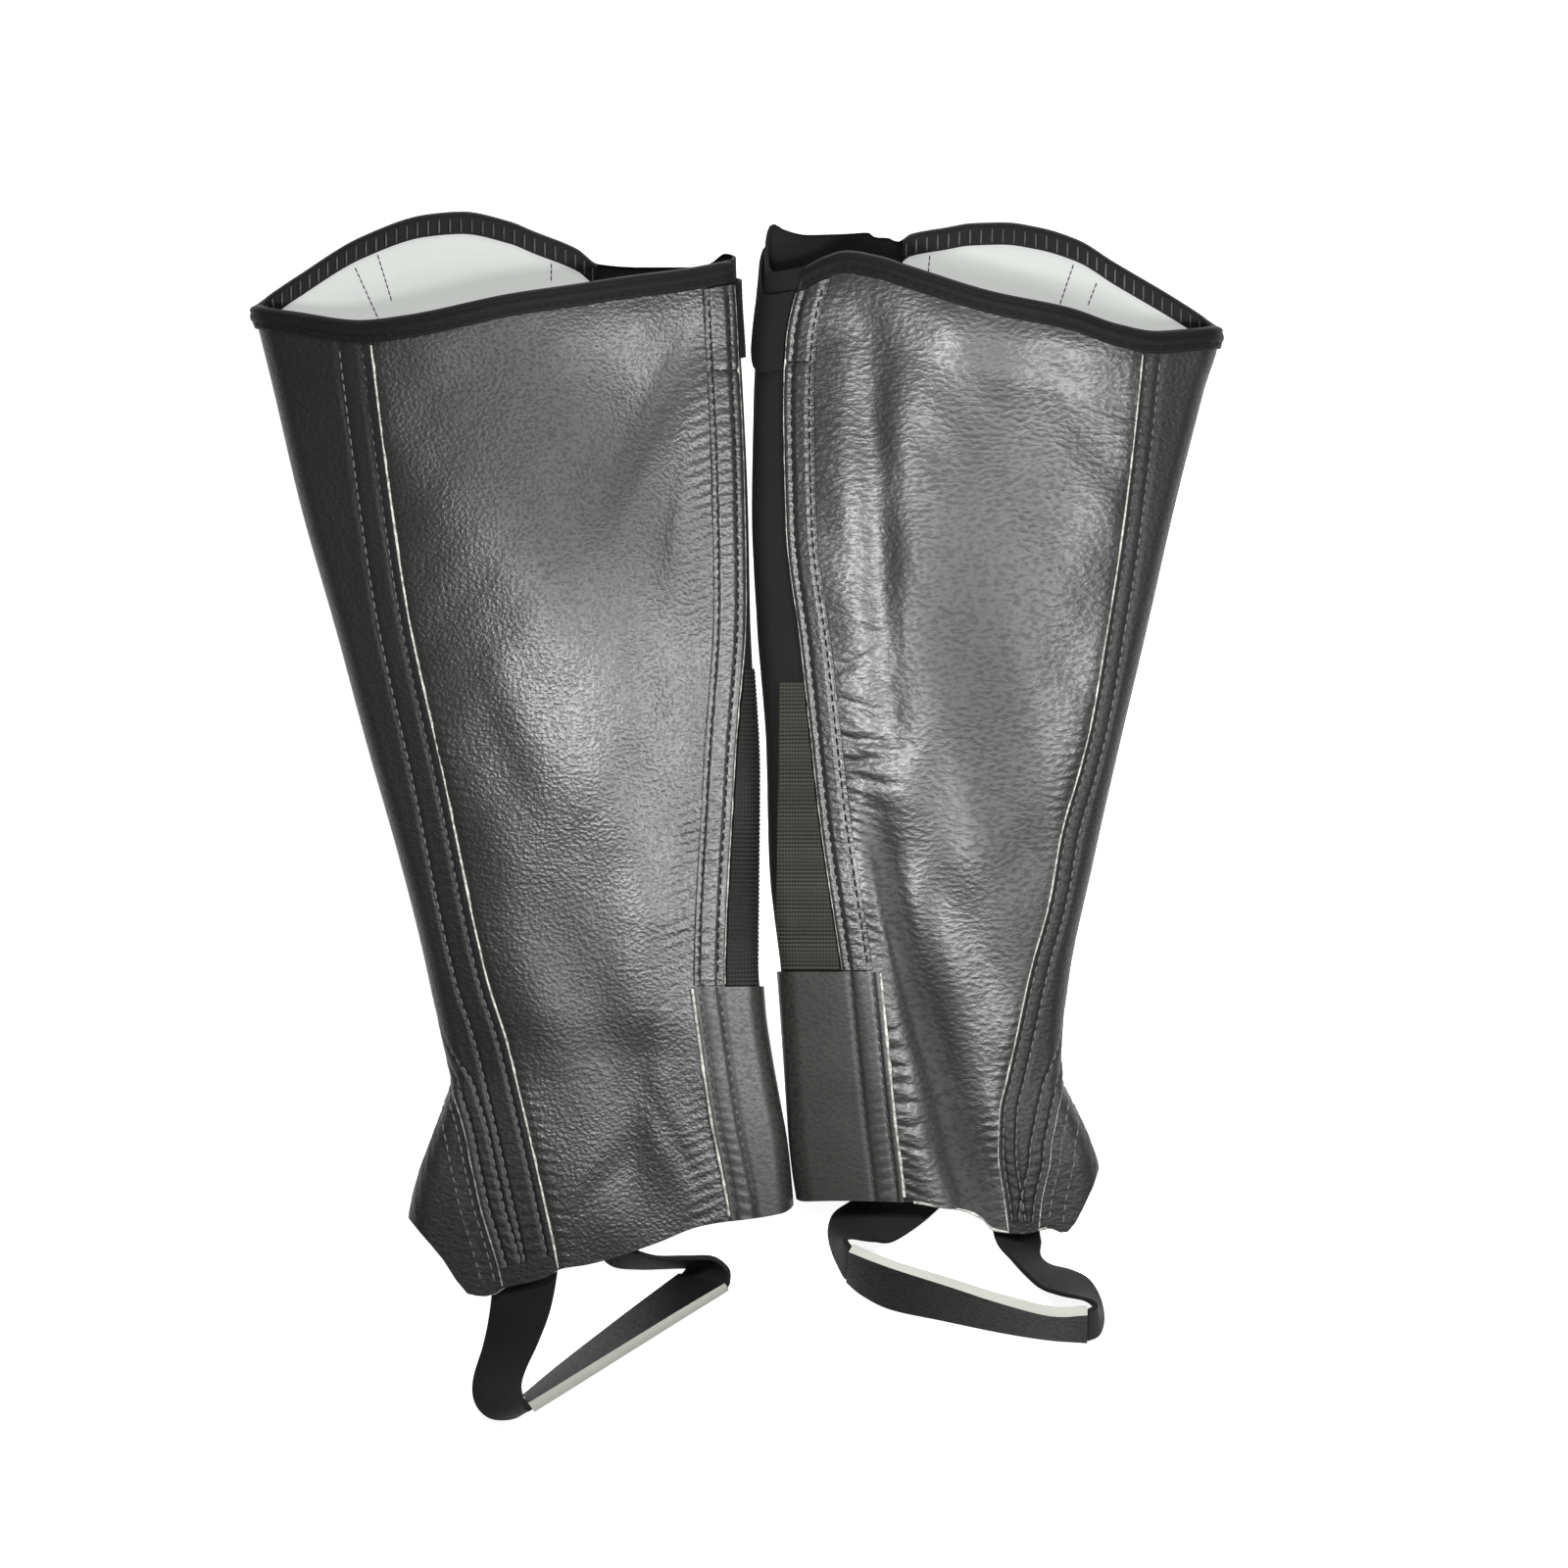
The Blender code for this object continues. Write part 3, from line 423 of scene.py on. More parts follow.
class Gaiter:
    """The outer surface of one gaiter, its seams and its rims."""

    def __init__(self, name):
        sections = SECTIONS[name]
        seams = SEAMS[name]
        self.name = name
        self.side = -1 if name == "left" else 1
        self.fold = curve(sections, "up", "fold")
        self.closure = curve(sections, "up", "closure")
        self.crown = curve(sections, "up", "crown")
        self.near_rim = curve(NEAR_RIM[name], "out", "up")
        self.far_rim = curve(FAR_RIM[name], "out", "up")
        self.near_hem = curve(NEAR_HEM[name], "out", "up")
        self.far_hem = curve(FAR_HEM[name], "out", "up")
        self.seam_out = curve(seams, "up", "seam")
        self.under_distance = curve(seams, "up", "under")
        self.edge_out = curve(seams, "up", "edge")
        self.strip_out = curve(seams, "up", "strip")
        self.elastic_out = curve(seams, "up", "elastic")
        self.patch_out = curve(PATCH_EDGE[name], "up", "out")
        self.patch_top = PATCH_TOP[name]
        self.folds = FOLDS[name]

    # The ring: distances round the flattened tube

    def half_ring(self, up):
        """Ring distance from the fold to the closure edge."""
        return self.fold(up) - self.closure(up) - 2 * FOLD_RADIUS + math.pi * FOLD_RADIUS

    def flat(self, ring, up):
        """Distance in from the fold, and height of the tube's section before it is puffed up."""
        ring = (np.asarray(ring) + 1) % 2 - 1
        half = self.half_ring(up)
        distance = np.abs(ring) * half
        quarter = math.pi * FOLD_RADIUS / 2
        turn_fold = np.clip(distance / FOLD_RADIUS, 0, math.pi / 2)
        turn_closure = np.clip((half - distance) / FOLD_RADIUS, 0, math.pi / 2)
        run = np.clip(distance - quarter, 0, half - 2 * quarter)
        inward = FOLD_RADIUS * (1 - np.cos(turn_fold) + np.cos(turn_closure)) + run
        rise = np.minimum(np.sin(turn_fold), np.sin(turn_closure))
        return inward, FOLD_RADIUS * (1 + np.sign(ring) * rise), ring

    def out(self, ring, up):
        return self.fold(up) - self.flat(ring, up)[0]

    def ring_at(self, out, up, layer=1):
        """Ring place of a plan distance, on the upper (1) or the lower (-1) layer."""
        inward = self.fold(up) - out
        width = self.fold(up) - self.closure(up)
        half = self.half_ring(up)
        first = FOLD_RADIUS * np.arccos(np.clip(1 - inward / FOLD_RADIUS, -1, 1))
        last = half - FOLD_RADIUS * np.arccos(np.clip(1 - (width - inward) / FOLD_RADIUS, -1, 1))
        middle = inward - FOLD_RADIUS + math.pi * FOLD_RADIUS / 2
        distance = np.where(inward < FOLD_RADIUS, first, np.where(width - inward < FOLD_RADIUS, last, middle))
        return layer * distance / half

    # Rims and hems

    def blend(self, near, far, ring, up):
        """Upper layer's line on the upper layer, lower layer's on the lower, soft at the edges."""
        out = self.out(ring, up)
        height = self.flat(ring, up)[1] / (2 * FOLD_RADIUS)
        return far(out) + (near(out) - far(out)) * smooth(height)

    def rim(self, ring, up):
        return self.blend(self.near_rim, self.far_rim, ring, up)

    def hem(self, ring, up):
        return self.blend(self.near_hem, self.far_hem, ring, up)

    # Heights

    def lift(self, ring, up):
        """How far the lower layer is held up by the binding and the ankle patch below it."""
        below_rim = self.rim(ring, up) - up
        at_rim = 1 - smooth((below_rim - LIFT_FULL) / LIFT_RAMP)
        from_closure = self.out(ring, up) - self.closure(up)
        across = 1 - smooth((from_closure - PATCH_UNDER - PATCH_MARGIN) / LIFT_RAMP)
        along = 1 - smooth((up - self.patch_top - LIFT_RAMP) / LIFT_RAMP)
        return LIFT * np.maximum(at_rim, across * along)

    def creased(self, out, up):
        """Depth of the upper layer's folds at a place in plan."""
        total = np.zeros(np.shape(out))
        for fold, along, across in from_middles(self.folds, out, up):
            total = total + fold["depth"] * trough(across, fold["width"]) * np.exp(-along ** 4)
        return total

    def surface(self, ring, up):
        """Point on the outer surface."""
        inward, height, ring = self.flat(ring, up)
        width = self.fold(up) - self.closure(up)
        share = np.clip(inward / width, 0, 1)
        puff = (self.crown(up) - 2 * FOLD_RADIUS) * np.sin(math.pi * share)
        out = self.fold(up) - inward
        edges = smooth(inward / FOLD_FADE) * smooth((width - inward) / FOLD_FADE)
        raised = np.where(ring > 0, puff - edges * self.creased(out, up), 0.0)
        x = self.side * out - MIDDLE_ACROSS
        y = up - MIDDLE_UP
        return np.stack([x, y + 0 * x, height + raised + self.lift(ring, up)], axis=-1)

    def at(self, ring, up, depth):
        """Point at a depth below the outer surface, or outside it where the depth is negative."""
        ring, up, depth = np.broadcast_arrays(np.asarray(ring, float), up, depth)
        span = RING_SPAN / self.half_ring(up)
        along_ring = self.surface(ring + span, up) - self.surface(ring - span, up)
        along_up = self.surface(ring, up + UP_SPAN) - self.surface(ring, up - UP_SPAN)
        normal = -self.side * np.cross(along_ring, along_up)
        normal = normal / np.linalg.norm(normal, axis=-1, keepdims=True)
        return self.surface(ring, up) - normal * depth[..., None]

    # Seams as ring places

    def seam(self, up):
        return self.ring_at(self.seam_out(up), up)

    def under(self, up):
        return self.under_distance(up) / self.half_ring(up)

    def edge(self, up):
        return self.ring_at(self.edge_out(up), up)

    def strip(self, up):
        return self.ring_at(self.strip_out(up), up)

    def patch(self, up):
        return self.ring_at(self.patch_out(up), up)

    def elastic(self, up):
        """Elastic seam on the lower layer, counted on past the closure edge."""
        return 2 + self.ring_at(self.elastic_out(up), up, -1)

    def moved(self, line, distance):
        """A seam line moved round the ring by a distance."""
        return lambda up: line(up) + distance / self.half_ring(up)


def lowered(line, distance):
    """A rim or hem line moved down the plan."""
    return lambda ring, up: line(ring, up) - distance


def level_ring(up):
    """The closure edge's own place on the ring, at every height."""
    return 1 + 0 * up


def level(height):
    """A straight end across the plan."""
    return lambda ring, up: height + 0 * up


def free_edges(gaiter, rows):
    """The low and the high edge of a strap's free stretch."""
    values = np.array(rows, float)
    sign = np.array([gaiter.side, 1, 1])
    middle = np.array([MIDDLE_ACROSS, MIDDLE_UP, 0])
    return np.stack([values[:, :3] * sign - middle, values[:, 3:] * sign - middle], axis=1)


def sewn_edges(gaiter, rows, layer):
    """The low and the high edge of a strap's end, lying on the inside of the tube."""
    depth = INSIDE + RAISED_GAP + STRAP_ELASTIC / 2
    values = np.array(rows, float)
    edges = []
    for out, up in ((values[:, 0], values[:, 1]), (values[:, 2], values[:, 3])):
        edges.append(gaiter.at(gaiter.ring_at(out, up, layer), up, depth))
    return np.stack(edges, axis=1)


def rounded(rows):
    """The strap's rows with more between them, on a smooth line through each."""
    slope = np.gradient(rows, axis=0)
    at = np.linspace(0, len(rows) - 1, (len(rows) - 1) * STRAP_STEPS + 1)
    i = np.minimum(at.astype(int), len(rows) - 2)
    t = (at - i)[:, None, None]
    return cubic(t, rows[i], rows[i + 1], slope[i], slope[i + 1])


# Spacing of the fine grids, round the tube and up it
SPACING = {
    "back_panel": (1.7, 1.7),
    "side_panel": (0.8, 1.3),
    "upper_panel": (1.1, 1.1),
    "elastic_panel": (1.7, 1.7),
    "lining": (3.4, 3.4),
    "closure_facing": (0.6, 1.2),
    "zip_strip": (1.2, 0.4),
    "ankle_patch": (0.9, 1.1),
    "snap_tab": (0.8, 0.8),
    "hem_fold": (1.1, 0.7),
}

# Shares of a sheet's thickness at which its border turns in
TURN = (0.12, 0.5, 1.0)

# Stitches and the grooves that they lie in
PITCH = 4.3
STITCH_LONG = 3.1
STITCH_WIDE = 0.75
STITCH_TALL = 0.34
GROOVE_WIDE = 0.80
GROOVE_DEEP = 0.62
GROOVE_REACH = 1.5

# Raw edges: width, height, half-round section, and the spacing of its points
RAW_WIDE = 1.05
RAW_TALL = 0.5
BEAD_SECTION = ((-1.0, 0.0), (-0.75, 0.7), (0.0, 1.0), (0.75, 0.7), (1.0, 0.0))
BEAD_STEP = 1.5
HEM_BEAD_STEP = 1.2

# Distances of the stitched rows from the seam or edge that they follow
SIDE_ROWS = {"left": (3.4, 12.6), "right": (1.9, 7.0)}
UNDER_ROWS = {"left": (3.0, 9.0), "right": (2.6, 8.0)}
FLARE_ROWS = {"left": (3.0, 8.4), "right": (4.0, 9.6)}
FACING_ROWS = {"left": (3.2, 10.6), "right": (3.5, 10.4)}
PATCH_ROWS = {"left": (2.4, 10.2), "right": (2.6, 11.4)}

# How far short of an end the stitched rows stop, how deep below a sheet's face the stitches lie, and
# where the three stitches below the snap are
ROW_END = 2
SEWN_DEEP = 0.3
SIDE_SEWN_DEEP = 0.15
SNAP_STITCHES = (2.4, 5.6, 8.8)

# Pale edges of the facing and the patch: place beside the line, depth, width and height
FACING_RAW = (-0.55, 0.75, 0.8, 0.55)
PATCH_RAW = (-0.2, 1.0, 1.2, 0.8)
SEAM_RAW_DEEP = 0.2
HEM_RAW_DEEP = 0.3

# The strip folded up at the side panel's hem: its distance from the seams, and its faces
HEM_FOLD_GAP = 0.6
HEM_FOLD_TALL = 0.5
HEM_FOLD_DEEP = 0.2
HEM_FOLD_TURN = (0.3, 1.0)

# Finer stitches: length, width and height
LINING_STITCH = (2.2, 0.5, 0.25)
LINING_PITCH = 2.4
OVERLOCK_STITCH = (6.0, 0.7, 0.35)

# Small creases of the upper layer, beside the folds of the solids
CREASES = {
    "left": table(
        "up out length heading width depth lean",
        (162, 30, 34, 24, 5, 1, 1),
        (120, 22, 30, 10, 4, 0.6, 1),
        (182, 92, 22, 60, 7, 0.7, 1),
        (40, 96, 40, -20, 9, 0.8, 1),
        (-128, 24, 20, -28, 4, 0.6, 1),
        (-84, 34, 24, 20, 5, 0.7, 1),
        (-142, 52, 18, 40, 5, 0.5, 1)),
    "right": table(
        "up out length heading width depth lean",
        (30, 50, 14, 84, 2.2, 0.8, 1),
        (22, 48, 13, 96, 1.9, 0.7, 1),
        (14, 52, 12, 82, 2, 0.6, 1),
        (44, 47, 11, 70, 2.2, 0.6, 1),
        (60, 44, 12, 112, 2.4, 0.6, 1),
        (78, 46, 12, 76, 2.2, 0.5, 1),
        (4, 54, 10, 70, 2.2, 0.3, 1),
        (-22, 56.5, 26, 12, 2.4, 1.4, 2.4),
        (-62, 65, 28, 16, 2.8, 2.2, 2.6),
        (-98, 75, 28, 17, 3.2, 2.2, 2.6),
        (-138, 85.5, 28, 17, 4, 2.4, 3),
        (-104, 65, 5, 78, 1.8, 0.6, 1),
        (-98, 63, 5, 96, 1.7, 0.6, 1),
        (-91, 62, 5, 82, 1.8, 0.6, 1),
        (-84, 60, 5, 100, 1.7, 0.6, 1),
        (-112, 67, 5, 84, 1.8, 0.6, 1),
        (-121, 69, 5, 98, 1.8, 0.6, 1),
        (-130, 71, 5, 80, 1.8, 0.5, 1),
        (150, 70, 22, 40, 8, 0.7, 1),
        (-20, 108, 20, -30, 8, 0.8, 1)),
}

# Places where the upper layer's leather is duller and smoother: the valleys and the pressed parts
DULL = {
    "left": table(
        "up out length heading width share",
        (150, 82, 74, -32, 36, 0.58),
        (150, 36, 34, 28, 7, 0.45),
        (-70, 62, 46, -12, 20, 0.30)),
    "right": table(
        "up out length heading width share",
        (-38, 61.5, 34, 14.4, 5, 0.9),
        (-95, 76, 42, 16.5, 7.5, 1),
        (-141, 90, 34, 17, 11, 1),
        (-20, 112, 110, 14, 18, 0.45),
        (96, 98, 62, -4, 32, 0.32)),
}

# Puckers across the bands between the seams: how many millimetres apart and how deep, the share
# of those that drag from the facing, and the slow waves that make them uneven
PUCKER_LONG = 4.4
PUCKER_DEEP = 0.16
DRAG_SHARE = 1.1
WAVE_DRIFT = 3.0
DRIFT_LONG = 17.0
SWING_LONG = 23.0

# The raised shoulders beside a crease, as shares of its depth and its width
SHOULDER = 0.5
SHOULDER_REACH = 2.2

# Depths and widths of the seam's dip, the side panel's swelling, the facing's thinned and rounded
# edges, and the patch's pillow, grooves, puckers and thin edge
SEAM_DIP = 0.35
SEAM_DIP_WIDE = 2.0
SIDE_SWELL = 0.5
SIDE_SWELL_WIDE = 20.0
FACING_THIN = 0.9
FACING_SLOPE = 2.2
FACING_ROUND = 0.45
FACING_ROUND_WIDE = 1.2
SNAP_ROW_WIDE = 0.9
PILLOW = 0.35
PILLOW_WIDE = 3.0
PATCH_GROOVE = 1.2
PATCH_PUCKER = 0.6
PATCH_PUCKER_WIDE = 5.0
PATCH_THIN = 0.5

# The binding, in distances down from the rim: its roll, and its topstitched and overlocked rows
RIM_ROLL = 2.0
RIM_ROW = 6.9
OVERLOCK_ROW = 5.6

# Its ridge and hollows outside: distance down, width and height
RIM_FORM = ((4.6, 1.3, 0.45), (RIM_ROW, 0.8, -0.4), (2.4, 0.7, -0.3))

# Its lower edge's drop, and the tucks between its stitches: height outside, width, height inside
RIM_DROP = 0.5
RIM_TUCK = 0.14
RIM_TUCK_WIDE = 1.5
OVERLOCK_TUCK = 0.3

# How fine the patterns are, in waves over a metre
PORES_FINE = 1500.0
FIBRES_FINE = 420.0
CLOTH_MOTTLE_FINE = 45.0
MOTTLE_FINE = 30.0

# Grain: height, the pores' share of it, and how the duller and the pressed places change it
GRAIN_HEIGHT = 0.7
PORE_SHARE = 0.12
DULL_GRAIN = 1.9
PRESSED_GRAIN = 0.2
DULL_ROUGHNESS = 0.42
CLOTH_HEIGHT = 0.35

# Leathers: colour, roughness, shine, bump, how far the grain is drawn out across the plan, and how
# fine it is
BLACKS = {
    "upper_panel": ((0.013, 0.0135, 0.0125), 0.35, 0.62, 0.42, 1.15, 760.0),
    "upper_panel_drawn": ((0.013, 0.0135, 0.0125), 0.35, 0.62, 0.36, 1.8, 640.0),
    "side_panel": ((0.006, 0.007, 0.0065), 0.52, 0.34, 0.40, 1.4, 760.0),
    "back_panel": ((0.011, 0.0115, 0.011), 0.48, 0.35, 0.40, 1.6, 760.0),
    "facing_leather": ((0.014, 0.0145, 0.0135), 0.36, 0.62, 0.40, 1.6, 760.0),
    "patch_leather": ((0.018, 0.0195, 0.0175), 0.40, 0.5, 0.12, 1.3, 700.0),
    "sole_leather": ((0.003, 0.003, 0.003), 0.60, 0.20, 0.25, 1.2, 800.0),
}

# Cloths and threads: colour, roughness, how fine the ribs are across and up the plan, bump, and what
# differs from plain cloth
CLOTHS = {
    "elastic": ((0.004, 0.004, 0.004), 0.80, 330.0, 620.0, 0.5, {}),
    "zip_tape": ((0.034, 0.034, 0.028), 0.75, 260.0, 209.0, 0.8, {"ribs": 0.75}),
    "zip_tape_dark": ((0.012, 0.012, 0.011), 0.65, 260.0, 180.0, 0.9, {"ribs": 0.85}),
    "binding": ((0.0035, 0.0035, 0.0035), 0.62, 300.0, 500.0, 0.35, {"shine": 0.16}),
    # The lining's glow is painted light: an emission that brightens it evenly, also where the upper layer
    # shades it.
    "lining": ((0.17, 0.175, 0.17), 0.92, 420.0, 420.0, 0.2, {"shine": 0.1, "worn": 0.03, "glow": 0.44}),
    "dark_thread": ((0.01, 0.01, 0.01), 0.80, 900.0, 900.0, 0.3, {"shine": 0.1}),
    "thread": ((0.030, 0.031, 0.029), 0.55, 900.0, 900.0, 0.3, {}),
    "pale_thread": ((0.085, 0.086, 0.08), 0.60, 900.0, 900.0, 0.3, {}),
    "grey_thread": ((0.055, 0.055, 0.055), 0.60, 900.0, 900.0, 0.3, {"worn": 0.6}),
    "pale_edge": ((0.34, 0.34, 0.31), 0.85, 300.0, 300.0, 0.15, {"worn": 0.08}),
}

# Lamps: place, what each is aimed at, size in metres, and power
LAMPS = {
    "window": ((0.28, 0.03, 0.46), (-0.03, 0.02, 0.0), (0.12, 0.24), 2.8),
    "second_window": ((-0.05, 0.06, 0.46), (0.0, 0.06, 0.0), (0.07, 0.14), 2.3),
    "fill": ((0.0, 0.95, 0.85), (0.0, 0.05, 0.0), (1.2, 0.6), 8.0),
}
ROOM_LIGHT = 0.07

# The table, in metres: half its width, and how far it is below the frame's own floor
TABLE_REACH = 3.0
TABLE_DOWN = 0.0004
TABLE_GLOW = 0.9
TABLE_COLOR = (0.93, 0.93, 0.92)
WHITE = (1.0, 1.0, 1.0, 1.0)


# Materials

def new_material(name, color, roughness, shine=0.5):
    """A plain shader and its tree."""
    material = bpy.data.materials.new(name)
    material.use_nodes = True
    tree = material.node_tree
    shader = tree.nodes["Principled BSDF"]
    shader.inputs["Base Color"].default_value = (*color, 1.0)
    shader.inputs["Roughness"].default_value = roughness
    shader.inputs["Specular IOR Level"].default_value = shine
    return material, tree, shader


def coordinates(tree, scale):
    """Object coordinates, stretched."""
    place = tree.nodes.new("ShaderNodeTexCoord")
    mapping = tree.nodes.new("ShaderNodeMapping")
    mapping.inputs["Scale"].default_value = scale
    tree.links.new(place.outputs["Object"], mapping.inputs["Vector"])
    return mapping.outputs["Vector"]


def noise(tree, vector, scale, detail=3.0, roughness=0.5):
    node = tree.nodes.new("ShaderNodeTexNoise")
    node.inputs["Scale"].default_value = scale
    node.inputs["Detail"].default_value = detail
    node.inputs["Roughness"].default_value = roughness
    tree.links.new(vector, node.inputs["Vector"])
    return node.outputs["Fac"]


def remap(tree, value, low, high, start, stop):
    node = tree.nodes.new("ShaderNodeMapRange")
    for name, number in (("From Min", low), ("From Max", high), ("To Min", start), ("To Max", stop)):
        node.inputs[name].default_value = number
    tree.links.new(value, node.inputs["Value"])
    return node.outputs["Result"]


def maths(tree, kind, first, second):
    node = tree.nodes.new("ShaderNodeMath")
    node.operation = kind
    for place, value in enumerate((first, second)):
        if isinstance(value, float):
            node.inputs[place].default_value = value
        else:
            tree.links.new(value, node.inputs[place])
    return node.outputs["Value"]


def tinted(tree, value, dark, light):
    """A colour between two, by a value."""
    mix = tree.nodes.new("ShaderNodeMix")
    mix.data_type = "RGBA"
    mix.inputs["A"].default_value = (*dark, 1.0)
    mix.inputs["B"].default_value = (*light, 1.0)
    tree.links.new(value, mix.inputs["Factor"])
    return mix.outputs["Result"]


def bumped(tree, shader, height, strength, distance):
    bump = tree.nodes.new("ShaderNodeBump")
    bump.inputs["Strength"].default_value = strength
    bump.inputs["Distance"].default_value = distance * MM
    tree.links.new(height, bump.inputs["Height"])
    tree.links.new(bump.outputs["Normal"], shader.inputs["Normal"])


def leather(name):
    """Full-grain leather: soft pebbles or short wrinkles across the leg, fine pores, worn colour with painted
    shade in the grain's low places.
    """
    color, roughness, shine, strength, drawn, fine = BLACKS[name]
    material, tree, shader = new_material(name + "_look", color, roughness, shine)
    even = coordinates(tree, (1.0, 1.0, 1.0))
    across = coordinates(tree, (1 / drawn, 1.0, 1.0))
    pebbles = noise(tree, across, fine, 1.5, 0.45)
    pores = noise(tree, even, PORES_FINE, 2.0, 0.6)
    slow = noise(tree, even, MOTTLE_FINE, 3.0, 0.55)
    height = maths(tree, "ADD", pebbles, maths(tree, "MULTIPLY", pores, PORE_SHARE))
    dull = tree.nodes.new("ShaderNodeAttribute")
    dull.attribute_name = "dull"
    dull = dull.outputs["Fac"]
    relief = maths(tree, "MULTIPLY", remap(tree, dull, 0.0, 0.7, 1.0, DULL_GRAIN),
                   remap(tree, dull, 0.75, 1.0, 1.0, PRESSED_GRAIN))
    bumped(tree, shader, maths(tree, "MULTIPLY", height, relief), strength, GRAIN_HEIGHT)
    # Base colour: darker at random with the slow mottle, as wear, and darker in the grain's low places, as
    # painted shade.
    high = remap(tree, pebbles, 0.34, 0.54, 0.0, 1.0)
    worn = maths(tree, "MULTIPLY", remap(tree, slow, 0.36, 0.68, 0.6, 1.0), high)
    dark = [value * 0.5 for value in color]
    light = [value * 1.3 for value in color]
    tree.links.new(tinted(tree, worn, dark, light), shader.inputs["Base Color"])
    rough = remap(tree, high, 0.0, 1.0, roughness + 0.08, roughness)
    rough = maths(tree, "ADD", rough, maths(tree, "MULTIPLY", dull, DULL_ROUGHNESS))
    tree.links.new(rough, shader.inputs["Roughness"])
    return material


def woven(name, color, roughness, warp, weft, strength, shine=0.25, ribs=0.0, worn=0.2, glow=0.0):
    """Woven or knitted cloth: fine ribs along and across, which may show in its colour too."""
    material, tree, shader = new_material(name + "_look", color, roughness, shine)
    even = coordinates(tree, (1.0, 1.0, 1.0))
    heights = []
    for scale, direction in ((warp, "X"), (weft, "Y")):
        wave = tree.nodes.new("ShaderNodeTexWave")
        wave.bands_direction = direction
        wave.inputs["Scale"].default_value = scale
        wave.inputs["Distortion"].default_value = 0.6
        tree.links.new(even, wave.inputs["Vector"])
        heights.append(wave.outputs["Fac"])
    fuzz = noise(tree, even, PORES_FINE, 3.0, 0.6)
    height = maths(tree, "ADD", maths(tree, "MULTIPLY", *heights), maths(tree, "MULTIPLY", fuzz, 0.5))
    bumped(tree, shader, height, strength, CLOTH_HEIGHT)
    slow = noise(tree, even, CLOTH_MOTTLE_FINE, 3.0, 0.5)
    share = maths(tree, "MULTIPLY", remap(tree, slow, 0.3, 0.7, 1.0 - worn, 1.0),
                  remap(tree, heights[1], 0.0, 1.0, 1.0 - ribs, 1.0))
    light = [min(1.0, value * (1.0 + worn)) for value in color]
    tree.links.new(tinted(tree, share, (0.0, 0.0, 0.0), light), shader.inputs["Base Color"])
    # The emission is painted light, which lifts the cloth's shade.
    shader.inputs["Emission Color"].default_value = (0.98, 1.0, 0.98, 1.0)
    shader.inputs["Emission Strength"].default_value = glow
    return material


def raw_edge():
    """The pale, fibrous cut edge of the leather."""
    material, tree, shader = new_material("raw_edge_look", (0.40, 0.41, 0.37), 0.85)
    even = coordinates(tree, (1.0, 1.0, 1.0))
    fibres = noise(tree, even, FIBRES_FINE, 4.0, 0.65)
    share = remap(tree, fibres, 0.36, 0.62, 0.0, 1.0)
    tree.links.new(tinted(tree, share, (0.17, 0.17, 0.15), (0.52, 0.53, 0.49)), shader.inputs["Base Color"])
    bumped(tree, shader, fibres, 0.5, 0.3)
    return material


LOOKS = {name: leather(name) for name in BLACKS}
LOOKS.update({name: woven(name, *row[:-1], **row[-1]) for name, row in CLOTHS.items()})
LOOKS["raw_edge"] = raw_edge()


# Meshes

def new_piece(name, points, faces, look, node=None):
    """A mesh piece from points in millimetres, which rides on the frame."""
    mesh = bpy.data.meshes.new(name)
    mesh.from_pydata((np.asarray(points) * MM).tolist(), [], faces)
    mesh.update()
    mesh.shade_smooth()
    mesh.set_sharp_from_angle(angle=math.radians(55))
    for each in look if isinstance(look, tuple) else (look,):
        mesh.materials.append(LOOKS[each])
    piece = bpy.data.objects.new(name, mesh)
    bpy.context.scene.collection.objects.link(piece)
    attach(piece, "root")
    if node:
        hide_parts(node)
    return piece


def grid_faces(rows, columns, start=0):
    """Quads of a grid of points."""
    corner = start + np.arange(rows * columns).reshape(rows, columns)
    quads = np.stack([corner[:-1, :-1], corner[:-1, 1:], corner[1:, 1:], corner[1:, :-1]], axis=-1)
    return quads.reshape(-1, 4).tolist()


def turned_in(face, edge, turn):
    """Points and faces of a sheet whose border is turned in, from the face's rim down to the edge."""
    rows, columns = face.shape[:2]
    corner = np.arange(rows * columns).reshape(rows, columns)
    border = np.concatenate([corner[0], corner[1:, -1], corner[-1, -2::-1], corner[-2:0:-1, 0]])
    rim = edge.reshape(-1, 3)[border]
    top = face.reshape(-1, 3)[border]
    points = [face.reshape(-1, 3)]
    faces = grid_faces(rows, columns)
    last = border
    for place, share in enumerate(turn):
        ring = rows * columns + place * len(border) + np.arange(len(border))
        points.append(top + (rim - top) * share)
        for first, second in zip(range(len(border)), [*range(1, len(border)), 0]):
            faces.append([int(last[second]), int(last[first]), int(ring[first]), int(ring[second])])
        last = ring
    return np.concatenate(points), faces


def span(gaiter, start, stop, top, bottom, across, along):
    """Even grid of ring places and heights between two seam lines and two ends."""
    up = np.array(0.0)
    wide = float(np.max((stop(up) - start(up)) * gaiter.half_ring(up)))
    columns = max(4, math.ceil(wide / across))
    share = np.linspace(0, 1, columns + 1)
    high = np.full(columns + 1, 200.0)
    low = np.full(columns + 1, -150.0)
    for _ in range(10):
        high = top(start(high) + (stop(high) - start(high)) * share, high)
        low = bottom(start(low) + (stop(low) - start(low)) * share, low)
    rows = max(2, math.ceil(float(np.max(high - low)) / along))
    up = high + (low - high) * np.linspace(0, 1, rows + 1)[:, None]
    return start(up) + (stop(up) - start(up)) * share, up


